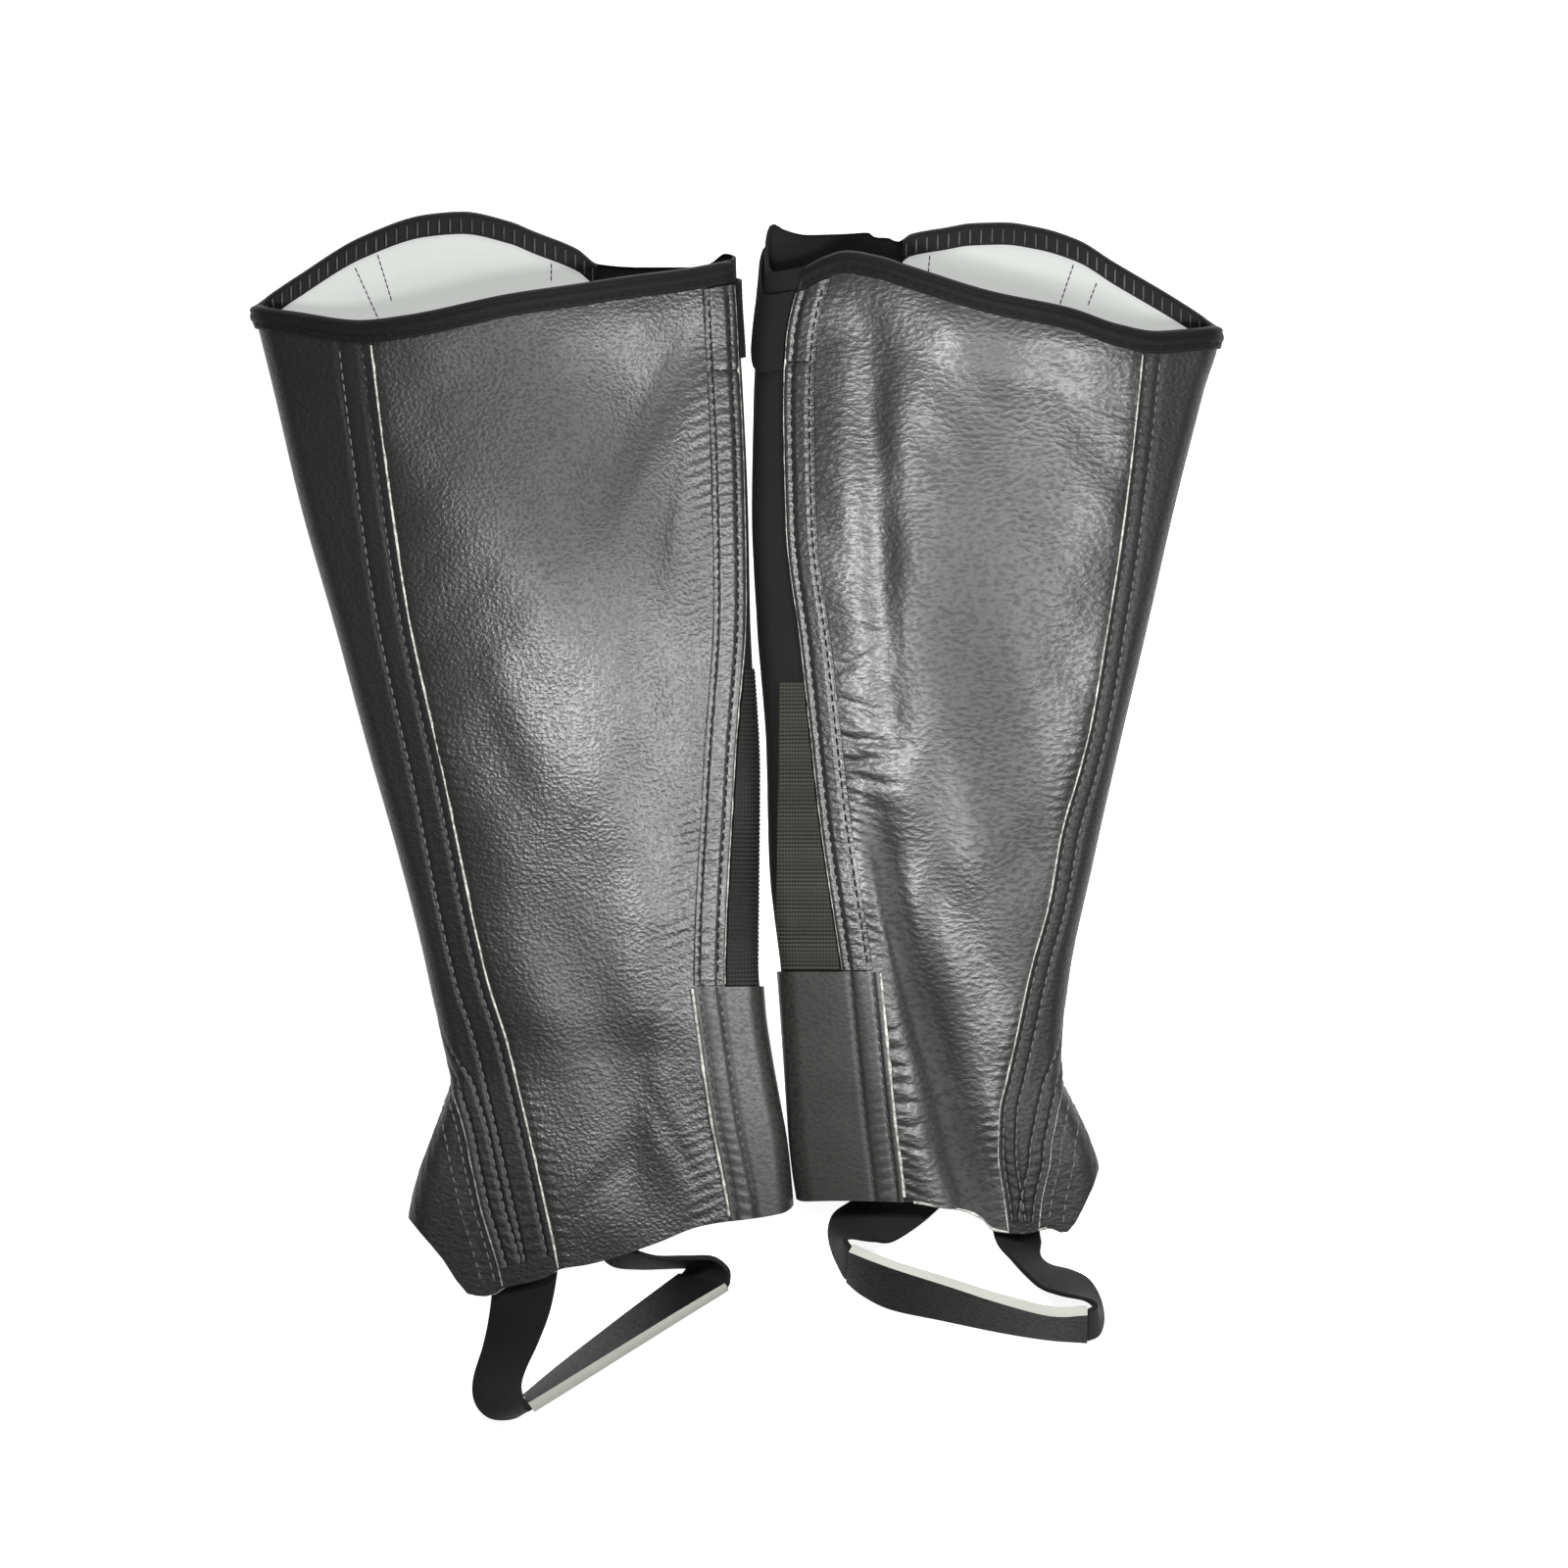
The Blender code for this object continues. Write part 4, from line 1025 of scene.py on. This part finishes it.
def cloth(gaiter, name, grid, depth, thick, relief, look):
    """A sheet on the tube: its outer face at a depth, less its relief, and turned in by its thickness."""
    ring, up = grid
    smooth_face = gaiter.at(ring, up, depth)
    raised = relief(gaiter, ring, up) if relief else np.zeros(ring.shape)
    raised = np.where(resting(gaiter, ring, up), np.minimum(raised, 0.0), raised)
    face = gaiter.at(ring, up, depth - raised)
    edge = gaiter.at(ring, up, depth + thick)
    points, faces = turned_in(face, edge, TURN)
    if gaiter.side * thick > 0:
        faces = [quad[::-1] for quad in faces]
    node = f"{gaiter.name}_{name}"
    piece = new_piece(f"{node}_cloth", points, faces, look, node=node)
    return piece


def resting(gaiter, ring, up):
    """True where the tube rests on the table."""
    return gaiter.flat(ring, up)[1] < FOLD_RADIUS / 2


def wavy(place, along, length):
    """An uneven wave along a line, a little different at each place across it."""
    turn = 2 * math.pi / length
    wave = np.sin(turn * along + WAVE_DRIFT * np.sin(along / DRIFT_LONG) + place)
    return wave * (0.6 + 0.4 * np.sin(along / SWING_LONG + place))


STITCH = [(-1.0, 0.0, 0.0), (-0.8, 0.7, 0.0), (-0.8, -0.7, 0.0), (-0.72, 0.0, 0.75), (0.0, 1.0, 0.0),
          (0.0, -1.0, 0.0), (0.0, 0.5, 0.86), (0.0, -0.5, 0.86), (0.8, 0.7, 0.0), (0.8, -0.7, 0.0),
          (0.72, 0.0, 0.75), (1.0, 0.0, 0.0)]
STITCH_FACES = [(0, 3, 1), (0, 2, 3), (1, 3, 6, 4), (3, 7, 6), (2, 5, 7, 3), (4, 6, 10, 8), (6, 7, 10),
                (7, 5, 9, 10), (8, 10, 11), (10, 9, 11)]


def stitches(name, rows, look, long=STITCH_LONG, wide=STITCH_WIDE, tall=STITCH_TALL):
    """Stitches as one mesh. Each row gives their middles, their directions and the outward normals."""
    shape = np.array(STITCH) * (long / 2, wide / 2, tall)
    points = []
    faces = []
    for middles, forward, normal in rows:
        across = np.cross(normal, forward)
        for place in range(len(middles)):
            start = len(points) * len(shape)
            axes = np.stack([forward[place], across[place], normal[place]])
            points.append(middles[place] + shape @ axes)
            faces += [[start + corner for corner in face] for face in STITCH_FACES]
    return new_piece(name, np.concatenate(points), faces, look)


def unit(vectors):
    return vectors / np.linalg.norm(vectors, axis=-1, keepdims=True)


def along_line(gaiter, line, top, bottom, depth, pitch=PITCH, crossways=False):
    """Middles, directions and normals of stitches along a seam line, from one height to another."""
    fine = np.linspace(top, bottom, 600)
    length = walked(gaiter.at(line(fine), fine, depth))
    count = max(1, int(length[-1] / pitch))
    up = np.interp((np.arange(count) + 0.5) * pitch, length, fine)
    return on_surface(gaiter, line(up), up, depth, line(up - 1.0), up - 1.0, crossways)


def on_surface(gaiter, ring, up, depth, next_ring, next_up, crossways=False):
    """Frames of stitches that point from each place to the next one, flat on the surface."""
    depth = depth + STITCH_TALL * resting(gaiter, ring, up) * (depth >= 0)
    middle = gaiter.at(ring, up, depth)
    normal = unit(gaiter.at(ring, up, -1.0) - gaiter.at(ring, up, 0.0))
    forward = gaiter.at(next_ring, next_up, depth) - middle
    forward = unit(forward - normal * (forward * normal).sum(axis=-1, keepdims=True))
    if crossways:
        forward = np.cross(normal, forward)
    return middle, forward, normal


def half_round(gaiter, spot, half_wide, depth, tall):
    """Points, rows and columns of a thin half-round bead. Spot gives the place beside its line."""
    columns = []
    for place, height in BEAD_SECTION:
        ring, up = spot(place * half_wide)
        above = np.where(resting(gaiter, ring, up), 0.0, height * tall)
        columns.append(gaiter.at(ring, up, depth - above))
    points = np.stack(columns, axis=1)
    return points.reshape(-1, 3), *points.shape[:2]


def bead(gaiter, line, top, bottom, depth, wide, tall=RAW_TALL):
    """A thin half-round bead along a line, such as a raw edge, uneven in width."""
    up = np.append(np.arange(top, bottom, -BEAD_STEP), bottom)
    uneven = 1 + 0.35 * np.sin(up / 3.1 + 2 * np.sin(up / 7.3)) * np.sin(up / 11.0 + 1.0)
    half = gaiter.half_ring(up)
    return half_round(gaiter, lambda away: (line(up) + away / half, up), wide / 2 * uneven, depth, tall)


def hem_bead(gaiter, start_out, stop_out, depth):
    """A thin half-round bead along the upper layer's hem."""
    out = np.linspace(start_out, stop_out, max(2, int(abs(stop_out - start_out) / HEM_BEAD_STEP)))
    hem = gaiter.near_hem(out) + 0.1
    uneven = 1 + 0.3 * np.sin(out / 2.3 + 2 * np.sin(out / 5.1))
    return half_round(gaiter, lambda away: (gaiter.ring_at(out, hem + away), hem + away),
                      RAW_WIDE / 2 * uneven, depth, RAW_TALL)


def beads(name, strips):
    """Several beads as one mesh."""
    points = []
    faces = []
    count = 0
    for strip, rows, columns in strips:
        faces += grid_faces(rows, columns, count)
        points.append(strip)
        count += len(strip)
    return new_piece(name, np.concatenate(points), faces, "raw_edge")


# Reliefs of the sheets, in millimetres outward

def creases(gaiter, ring, up):
    """Height of the small creases of the upper layer."""
    out = gaiter.out(ring, up)
    total = np.zeros(np.shape(out))
    for crease, along, across in from_middles(CREASES[gaiter.name], out, up):
        width = crease["width"] * np.where(across > 0, crease["lean"], 1.0)
        valley = trough(across, width) - SHOULDER * trough(across, SHOULDER_REACH * width)
        total = total - crease["depth"] * trough(along, 1.0) * valley
    return np.where(ring > 0, total, 0.0)


def dullness(gaiter, ring, up):
    """How dull the upper layer's leather is, from 0 to 1."""
    shine = np.ones(np.shape(up))
    for place, along, across in from_middles(DULL[gaiter.name], gaiter.out(ring, up), up):
        shine = shine * (1 - place["share"] * np.exp(-along ** 4 - (across / place["width"]) ** 4))
    return 1 - shine


def sewn_band(gaiter, ring, up, line, rows, side):
    """Grooves of stitched rows beside a seam, with ridges and puckers between them."""
    distance = side * (ring - line(up)) * gaiter.half_ring(up)
    total = np.zeros(np.shape(distance))
    for row in rows:
        total = total - GROOVE_DEEP * trough(distance - row, GROOVE_WIDE)
    middle = (rows[0] + rows[-1]) / 2
    reach = (rows[-1] - rows[0]) / 2 + GROOVE_REACH
    return total + PUCKER_DEEP * wavy(0.3 * distance, up, PUCKER_LONG) * trough(distance - middle, reach)


def side_relief(gaiter, ring, up):
    """Two sewn bands, and a swelling beside both seams."""
    half = gaiter.half_ring(up)
    from_seam = (gaiter.seam(up) - ring) * half
    from_under = (ring - gaiter.under(up)) * half
    total = sewn_band(gaiter, ring, up, gaiter.seam, SIDE_ROWS[gaiter.name], -1)
    total = total + sewn_band(gaiter, ring, up, gaiter.under, UNDER_ROWS[gaiter.name], 1)
    raised = smooth(1 - from_seam / SIDE_SWELL_WIDE) + smooth(1 - from_under / SIDE_SWELL_WIDE)
    return total + SIDE_SWELL * np.minimum(raised, 1.0)


def uneven_leather(gaiter, ring, up):
    """Slow, shallow unevenness of leather that has been worn and folded."""
    swells = SWELLS[gaiter.name]
    out = gaiter.out(ring, up)
    total = np.zeros(np.shape(out))
    for across, along, turn, depth in zip(*swells.values()):
        total = total + depth * np.sin(2 * math.pi * (out / across + up / along) + turn)
    return total


def upper_relief(gaiter, ring, up):
    """Creases, a dip at the long seam, and puckers beside it and beside the facing."""
    half = gaiter.half_ring(up)
    from_seam = (ring - gaiter.seam(up)) * half
    from_edge = (gaiter.edge(up) - ring) * half
    total = creases(gaiter, ring, up) + uneven_leather(gaiter, ring, up)
    total = total - SEAM_DIP * trough(from_seam, SEAM_DIP_WIDE)
    puckers = wavy(0.2 * from_seam, up, PUCKER_LONG) * trough(from_seam - 3, 4.0)
    drags = wavy(0.12 * from_edge, up + 0.3 * from_edge, PUCKER_LONG)
    drags = drags * trough(from_edge - FACING_WIDTH - 4, 7.0)
    return total + PUCKER_DEEP * (puckers + DRAG_SHARE * drags)


def back_relief(gaiter, ring, up):
    """The sewn band on the flare over the instep."""
    return sewn_band(gaiter, ring, up, gaiter.under, FLARE_ROWS[gaiter.name], -1)


def facing_relief(gaiter, ring, up):
    """The sewn band, edges that thin out, and the short row below the snap."""
    from_edge = (gaiter.edge(up) - ring) * gaiter.half_ring(up)
    total = sewn_band(gaiter, ring, up, gaiter.edge, FACING_ROWS[gaiter.name], -1)
    total = total - FACING_THIN * smooth((from_edge - FACING_WIDTH + FACING_SLOPE) / FACING_SLOPE)
    total = total - FACING_ROUND * smooth(1 - from_edge / FACING_ROUND_WIDE)
    return total - GROOVE_DEEP * trough(up - SNAP_ROW[gaiter.name], SNAP_ROW_WIDE)


def patch_relief(gaiter, ring, up):
    """Stitched grooves with a pillow between them, and a thin inner edge."""
    rows = PATCH_ROWS[gaiter.name]
    from_line = (ring - gaiter.patch(up)) * gaiter.half_ring(up)
    from_middle = from_line - sum(rows) / 2
    total = PILLOW * trough(from_middle, PILLOW_WIDE) - PATCH_THIN * smooth(1 - from_line)
    for row in rows:
        total = total - PATCH_GROOVE * GROOVE_DEEP * trough(from_line - row, GROOVE_WIDE)
    puckers = wavy(0.3 * from_line, up, PUCKER_LONG) * trough(from_middle, PATCH_PUCKER_WIDE)
    return total + PATCH_PUCKER * PUCKER_DEEP * puckers


def ribbed(pitch, deep):
    """A relief of even ribs across the leg."""
    return lambda gaiter, ring, up: deep * np.sin(2 * math.pi * up / pitch) + 0 * ring


# The gaiter's pieces

def build_cloth(gaiter):
    """The panels, lining, facing, zip strip, ankle patch and snap tab."""
    name = gaiter.name
    moved = gaiter.moved
    gap = SEAM_GAP / 2
    under_binding = lowered(gaiter.rim, BINDING + LINING_GAP)
    back_start = moved(lambda up: gaiter.elastic(up) - 2, gap)
    facing_side = moved(gaiter.edge, -gap)

    def laid(piece, sides, depth, thick, relief, look, on_it=()):
        grid = span(gaiter, *sides, *SPACING[piece])
        return grid, cloth(gaiter, piece, grid, depth, thick, relief, look)

    laid("back_panel", (back_start, moved(gaiter.under, -gap), under_binding, gaiter.hem),
         0.0, LEATHER, back_relief, "back_panel")
    laid("side_panel", (moved(gaiter.under, gap), moved(gaiter.seam, -gap), under_binding, gaiter.hem),
         0.0, LEATHER, side_relief, "side_panel", build_side_trim(gaiter))
    grid, piece = laid("upper_panel", (moved(gaiter.seam, gap), facing_side, under_binding, gaiter.hem),
                       0.0, LEATHER, upper_relief, GRAINS[name], build_hem_trim(gaiter))
    values = np.zeros(len(piece.data.vertices), dtype=np.float32)
    values[:grid[0].size] = dullness(gaiter, *grid).ravel()
    piece.data.attributes.new("dull", "FLOAT", "POINT").data.foreach_set("value", values)
    laid("elastic_panel", (moved(gaiter.edge, gap), moved(gaiter.elastic, -gap), gaiter.rim, gaiter.hem),
         0.0, ELASTIC, None, "elastic")
    laid("lining", (back_start, facing_side, under_binding, gaiter.hem),
         INSIDE, -LINING, None, "lining", build_lining_trim(gaiter))
    above_patch = level(gaiter.patch_top + PATCH_CLEAR)
    beside_edge = moved(gaiter.edge, gap + SEAM_GAP)
    laid("closure_facing", (moved(gaiter.edge, -FACING_WIDTH), facing_side,
                            lowered(gaiter.rim, BINDING_WIDTH + PATCH_CLEAR), above_patch),
         -RAISED_GAP - PATCH, PATCH, facing_relief, "facing_leather", build_facing_trim(gaiter))
    laid("zip_strip", (beside_edge, gaiter.strip, level(STRIP_TOP[name]), above_patch),
         -LAYER_GAP - PATCH, PATCH, ribbed(STRIP_RIB, STRIP_RIB_DEEP), STRIP_LOOK[name])
    patch_outer = lambda up: 2 + gaiter.ring_at(gaiter.closure(up) + PATCH_UNDER, up, -1)
    laid("ankle_patch", (gaiter.patch, patch_outer, level(gaiter.patch_top), gaiter.hem),
         -LAYER_GAP - PATCH, PATCH, patch_relief, "patch_leather", build_patch_trim(gaiter))
    tab_top = lowered(gaiter.rim, TAB_TOP)
    laid("snap_tab", (beside_edge, moved(level_ring, TAB_UNDER), tab_top, lowered(tab_top, TAB_LENGTH)),
         -RAISED_GAP - PATCH, PATCH, ribbed(TAB_RIB, TAB_RIB_DEEP), "elastic")


def highest(gaiter, line):
    """Height at which a line along the leg meets the binding's lower edge."""
    up = np.array(200.0)
    for _ in range(8):
        up = gaiter.rim(line(up), up) - BINDING_WIDTH - 1.0
    return float(up)


def lowest(gaiter, line):
    """Height at which a line along the leg meets the hem."""
    up = np.array(-150.0)
    for _ in range(8):
        up = gaiter.hem(line(up), up) + 1.0
    return float(up)


def build_side_trim(gaiter):
    """Stitched rows and pale raw edges along the side panel's two seams."""
    name = gaiter.name
    rows = []
    for line, side, offsets in ((gaiter.seam, -1, SIDE_ROWS[name]), (gaiter.under, 1, UNDER_ROWS[name]),
                                (gaiter.under, -1, FLARE_ROWS[name])):
        for offset in offsets:
            row = gaiter.moved(line, side * offset)
            top = highest(gaiter, row) - ROW_END
            rows.append(along_line(gaiter, row, top, lowest(gaiter, row) + ROW_END, SIDE_SEWN_DEEP))
    sewing = stitches(f"{name}_side_stitches", rows, "pale_thread")
    strips = []
    for line in (gaiter.seam, gaiter.under):
        ends = highest(gaiter, line), lowest(gaiter, line)
        strips.append(bead(gaiter, line, *ends, SEAM_RAW_DEEP, SEAM_RAW[name]))
    return [sewing, beads(f"{name}_seam_raw_edges", strips), build_hem_fold(gaiter)]


def build_hem_fold(gaiter):
    """The dark strip folded up over the side panel's hem."""
    name = gaiter.name
    top = lowered(gaiter.hem, -HEM_FOLD[name])
    start = gaiter.moved(gaiter.under, HEM_FOLD_GAP)
    stop = gaiter.moved(gaiter.seam, -HEM_FOLD_GAP)
    grid = span(gaiter, start, stop, top, gaiter.hem, *SPACING["hem_fold"])
    lift = np.where(resting(gaiter, *grid), 0.0, HEM_FOLD_TALL)
    points, faces = turned_in(gaiter.at(*grid, -lift), gaiter.at(*grid, HEM_FOLD_DEEP), HEM_FOLD_TURN)
    if gaiter.side > 0:
        faces = [quad[::-1] for quad in faces]
    return new_piece(f"{name}_hem_fold", points, faces, "side_panel")


def build_hem_trim(gaiter):
    """The pale raw edge where it shows along the hem."""
    strips = [hem_bead(gaiter, start, stop, HEM_RAW_DEEP) for start, stop in HEM_PALE[gaiter.name]]
    return [beads(f"{gaiter.name}_hem_raw_edge", strips)] if strips else []


def build_facing_trim(gaiter):
    """Stitched rows and the pale edge of the closure facing."""
    name = gaiter.name
    face = -RAISED_GAP - PATCH
    rows = []
    for offset in FACING_ROWS[name]:
        row = gaiter.moved(gaiter.edge, -offset)
        top = highest(gaiter, row) - ROW_END - 1
        rows.append(along_line(gaiter, row, top, gaiter.patch_top + ROW_END, face + SEWN_DEEP))
    up = np.full(len(SNAP_STITCHES), SNAP_ROW[name])
    places = gaiter.edge(up) - np.array(SNAP_STITCHES) / gaiter.half_ring(up)
    rows.append(on_surface(gaiter, places, up, face + 0.2, places + 0.01, up))
    sewing = stitches(f"{name}_facing_stitches", rows, "dark_thread")
    away, deep, wide, tall = FACING_RAW
    line = gaiter.moved(gaiter.edge, away)
    strip = bead(gaiter, line, highest(gaiter, line), gaiter.patch_top + 1, face + deep, wide, tall)
    return [sewing, beads(f"{name}_facing_raw_edge", [strip])]


def build_patch_trim(gaiter):
    """Stitched rows and the pale raw edge of the ankle patch."""
    name = gaiter.name
    face = -LAYER_GAP - PATCH
    rows = []
    for offset in PATCH_ROWS[name]:
        row = gaiter.moved(gaiter.patch, offset)
        bottom = lowest(gaiter, row) + ROW_END
        rows.append(along_line(gaiter, row, gaiter.patch_top - ROW_END, bottom, face + SEWN_DEEP))
    sewing = stitches(f"{name}_patch_stitches", rows, "thread")
    away, deep, wide, tall = PATCH_RAW
    line = gaiter.moved(gaiter.patch, away)
    strip = bead(gaiter, line, gaiter.patch_top - 0.5, lowest(gaiter, line) + 1, face + deep, wide, tall)
    return [sewing, beads(f"{name}_patch_raw_edge", [strip])]


def build_lining_trim(gaiter):
    """The seams that show inside the opening, as darned lines down the far side's lining."""
    rows = []
    for out, down, tilt in LINING_SEAMS[gaiter.name]:
        line = lambda up, out=out, tilt=tilt: gaiter.ring_at(out + tilt * (up - LINING_SEAM_UP), up, -1)
        top = float(gaiter.far_rim(out)) - BINDING_WIDTH - 1
        rows.append(along_line(gaiter, line, top, top - down, INSIDE + 0.05, LINING_PITCH))
    return [stitches(f"{gaiter.name}_lining_seams", rows, "dark_thread", *LINING_STITCH)]


def build_binding(gaiter):
    """The bound rim: a rolled strip with a topstitched ridge outside and overlock stitches inside."""
    name = gaiter.name
    start = gaiter.moved(lambda up: gaiter.elastic(up) - 2, -BINDING_LAP)
    stop = gaiter.moved(gaiter.edge, -SEAM_GAP)
    grid = span(gaiter, start, stop, gaiter.rim, lowered(gaiter.rim, 1.0), 1.0, 1.0)
    ring, up = (values[0] for values in grid)
    walk = walked(gaiter.at(ring, up, 0.0))
    tucks = np.sin(2 * math.pi * walk / PITCH)
    outside = -LAYER_GAP - BINDING
    inside = INSIDE + LAYER_GAP + BINDING
    columns = [gaiter.at(ring, up - BINDING_WIDTH, -LAYER_GAP)]
    for down in np.linspace(BINDING_WIDTH, RIM_ROLL, 15):
        raised = sum(tall * trough(down - place, wide) for place, wide, tall in RIM_FORM)
        raised = raised - RIM_DROP * smooth(down - BINDING_WIDTH + 1.0)
        raised = raised + RIM_TUCK * tucks * trough(down - RIM_ROW, RIM_TUCK_WIDE)
        columns.append(gaiter.at(ring, up - down, outside - raised))
    middle = (inside + outside) / 2
    for turn in np.linspace(0, math.pi, 11):
        depth = middle - (inside - outside) / 2 * math.cos(turn)
        columns.append(gaiter.at(ring, up - RIM_ROLL + RIM_ROLL * math.sin(turn), depth))
    for down in np.linspace(RIM_ROLL + 0.4, BINDING_WIDTH, 13):
        share = smooth((BINDING_WIDTH - down) / RIM_TUCK_WIDE) * smooth((down - RIM_ROLL) / 2)
        columns.append(gaiter.at(ring, up - down, inside + OVERLOCK_TUCK * tucks ** 3 * share))
    columns.append(gaiter.at(ring, up - BINDING_WIDTH, inside - BINDING))
    face = np.stack(columns, axis=0)
    faces = grid_faces(*face.shape[:2])
    if gaiter.side < 0:
        faces = [quad[::-1] for quad in faces]
    count = int(walk[-1] / PITCH)
    at = np.interp((np.arange(count) + 0.5) * PITCH, walk, np.arange(len(walk)))
    ring_at = np.interp(at, np.arange(len(ring)), ring)
    up_at = np.interp(at, np.arange(len(up)), up)
    sewn = up_at - OVERLOCK_ROW
    middles, forward, normal = on_surface(gaiter, ring_at, sewn, inside + 0.1, ring_at, sewn - 1.0)
    overlock = stitches(f"{name}_overlock", [(middles, forward, -normal)], "grey_thread", *OVERLOCK_STITCH)
    sewn = up_at - RIM_ROW
    outer = on_surface(gaiter, ring_at, sewn, outside + 0.1, ring_at + 0.01, sewn)
    topstitch = stitches(f"{name}_rim_stitches", [outer], "dark_thread")
    node = f"{name}_top_binding"
    piece = new_piece(f"{node}_cloth", face.reshape(-1, 3), faces, "binding", node=node)


# Straps

# Points across each of a strap's faces, and how soon its corners are full
STRAP_ACROSS = 14
CORNER_START = 0.35
CORNER_RISE = 4.0


def ribbon(gaiter, name, rows, thick, look, pale=None):
    """A strap: a ribbon between its two edges with soft corners; its narrow sides may be pale."""
    rows = rounded(rows)
    low = rows[:, 0]
    high = rows[:, 1]
    forward = np.gradient((low + high) / 2, axis=0)
    normal = unit(np.cross(forward, high - low)) * thick / 2
    turn = np.linspace(0, math.pi, STRAP_ACROSS)
    share = (1 - np.cos(turn)) / 2
    corner = np.minimum(1.0, CORNER_START + CORNER_RISE * np.sin(turn))
    loop = []
    for side, order in ((1, range(STRAP_ACROSS)), (-1, range(STRAP_ACROSS - 1, -1, -1))):
        for place in order:
            loop.append(low + (high - low) * share[place] + side * normal * corner[place])
    points = np.stack(loop, axis=1)
    count = points.shape[0]
    around = points.shape[1]
    faces = []
    for row in range(count - 1):
        for place in range(around):
            after = (place + 1) % around
            faces.append([row * around + place, row * around + after,
                          (row + 1) * around + after, (row + 1) * around + place])
    faces.append(list(range(around))[::-1])
    faces.append([(count - 1) * around + place for place in range(around)])
    looks = (look, "pale_edge") if pale else (look,)
    piece = new_piece(f"{gaiter.name}_{name}_cloth", points.reshape(-1, 3), faces, looks,
                      node=f"{gaiter.name}_{name}")
    if pale:
        narrow = {STRAP_ACROSS - 1, STRAP_ACROSS - 2, STRAP_ACROSS, 2 * STRAP_ACROSS - 1, 0,
                  2 * STRAP_ACROSS - 2}
        for row in range(count - 1):
            for place in narrow:
                piece.data.polygons[row * around + place].material_index = 1
    shape = bmesh.new()
    shape.from_mesh(piece.data)
    bmesh.ops.recalc_face_normals(shape, faces=shape.faces)
    shape.to_mesh(piece.data)
    shape.free()
    return piece


def build_straps(gaiter):
    """The strap's two elastic ends and its sole piece, each lapped into the next."""
    name = gaiter.name
    sole = free_edges(gaiter, STRAP_SOLE[name])
    front = np.concatenate([sewn_edges(gaiter, FRONT_SEWN[name], 1),
                            free_edges(gaiter, STRAP_FRONT[name]), sole[:1]])
    back = np.concatenate([sole[-1:], free_edges(gaiter, STRAP_BACK[name]),
                           sewn_edges(gaiter, BACK_SEWN[name], -1)])
    ribbon(gaiter, "strap_front", front, STRAP_ELASTIC, "elastic")
    ribbon(gaiter, "strap_sole", sole, STRAP_THICK, "sole_leather", pale=True)
    ribbon(gaiter, "strap_back", back, STRAP_ELASTIC, "elastic")


# The table, the light and the camera

def build_stage():
    """The white table."""
    corners = [(x * TABLE_REACH, y * TABLE_REACH, 0) for x, y in ((-1, -1), (1, -1), (1, 1), (-1, 1))]
    mesh = bpy.data.meshes.new("table")
    mesh.from_pydata(corners, [], [range(len(corners))])
    material, _, shader = new_material("table_look", TABLE_COLOR, 0.6)
    shader.inputs["Emission Color"].default_value = WHITE
    shader.inputs["Emission Strength"].default_value = TABLE_GLOW
    mesh.materials.append(material)
    table_top = bpy.data.objects.new("table", mesh)
    table_top.location.z = -TABLE_DOWN
    bpy.context.scene.collection.objects.link(table_top)


def build_light():
    """A dim, even room and the lamps."""
    world = bpy.data.worlds.new("room")
    world.use_nodes = True
    background = world.node_tree.nodes["Background"]
    background.inputs["Color"].default_value = WHITE
    background.inputs["Strength"].default_value = ROOM_LIGHT
    bpy.context.scene.world = world
    for name, (place, aim, size, power) in LAMPS.items():
        data = bpy.data.lights.new(name, "AREA")
        data.shape = "RECTANGLE"
        data.size, data.size_y = size
        data.energy = power
        light = bpy.data.objects.new(name, data)
        light.location = place
        light.rotation_euler = (Vector(aim) - Vector(place)).to_track_quat("-Z", "Y").to_euler()
        bpy.context.scene.collection.objects.link(light)


def build_camera():
    """Straight above, from far off, so that the plan keeps the photograph's scale."""
    data = bpy.data.cameras.new("camera")
    data.lens = data.sensor_width * CAMERA_HEIGHT / (PHOTO_ACROSS * MM)
    data.clip_end = 20.0
    camera = bpy.data.objects.new("camera", data)
    camera.location = (PHOTO_X * MM, PHOTO_Y * MM, CAMERA_HEIGHT)
    scene = bpy.context.scene
    scene.collection.objects.link(camera)
    scene.camera = camera
    scene.render.resolution_x = 1600
    scene.render.resolution_y = 1600
    scene.view_settings.view_transform = "Standard"


for each in ("left", "right"):
    tube = Gaiter(each)
    build_cloth(tube)
    build_binding(tube)
    build_straps(tube)
build_stage()
build_light()
build_camera()
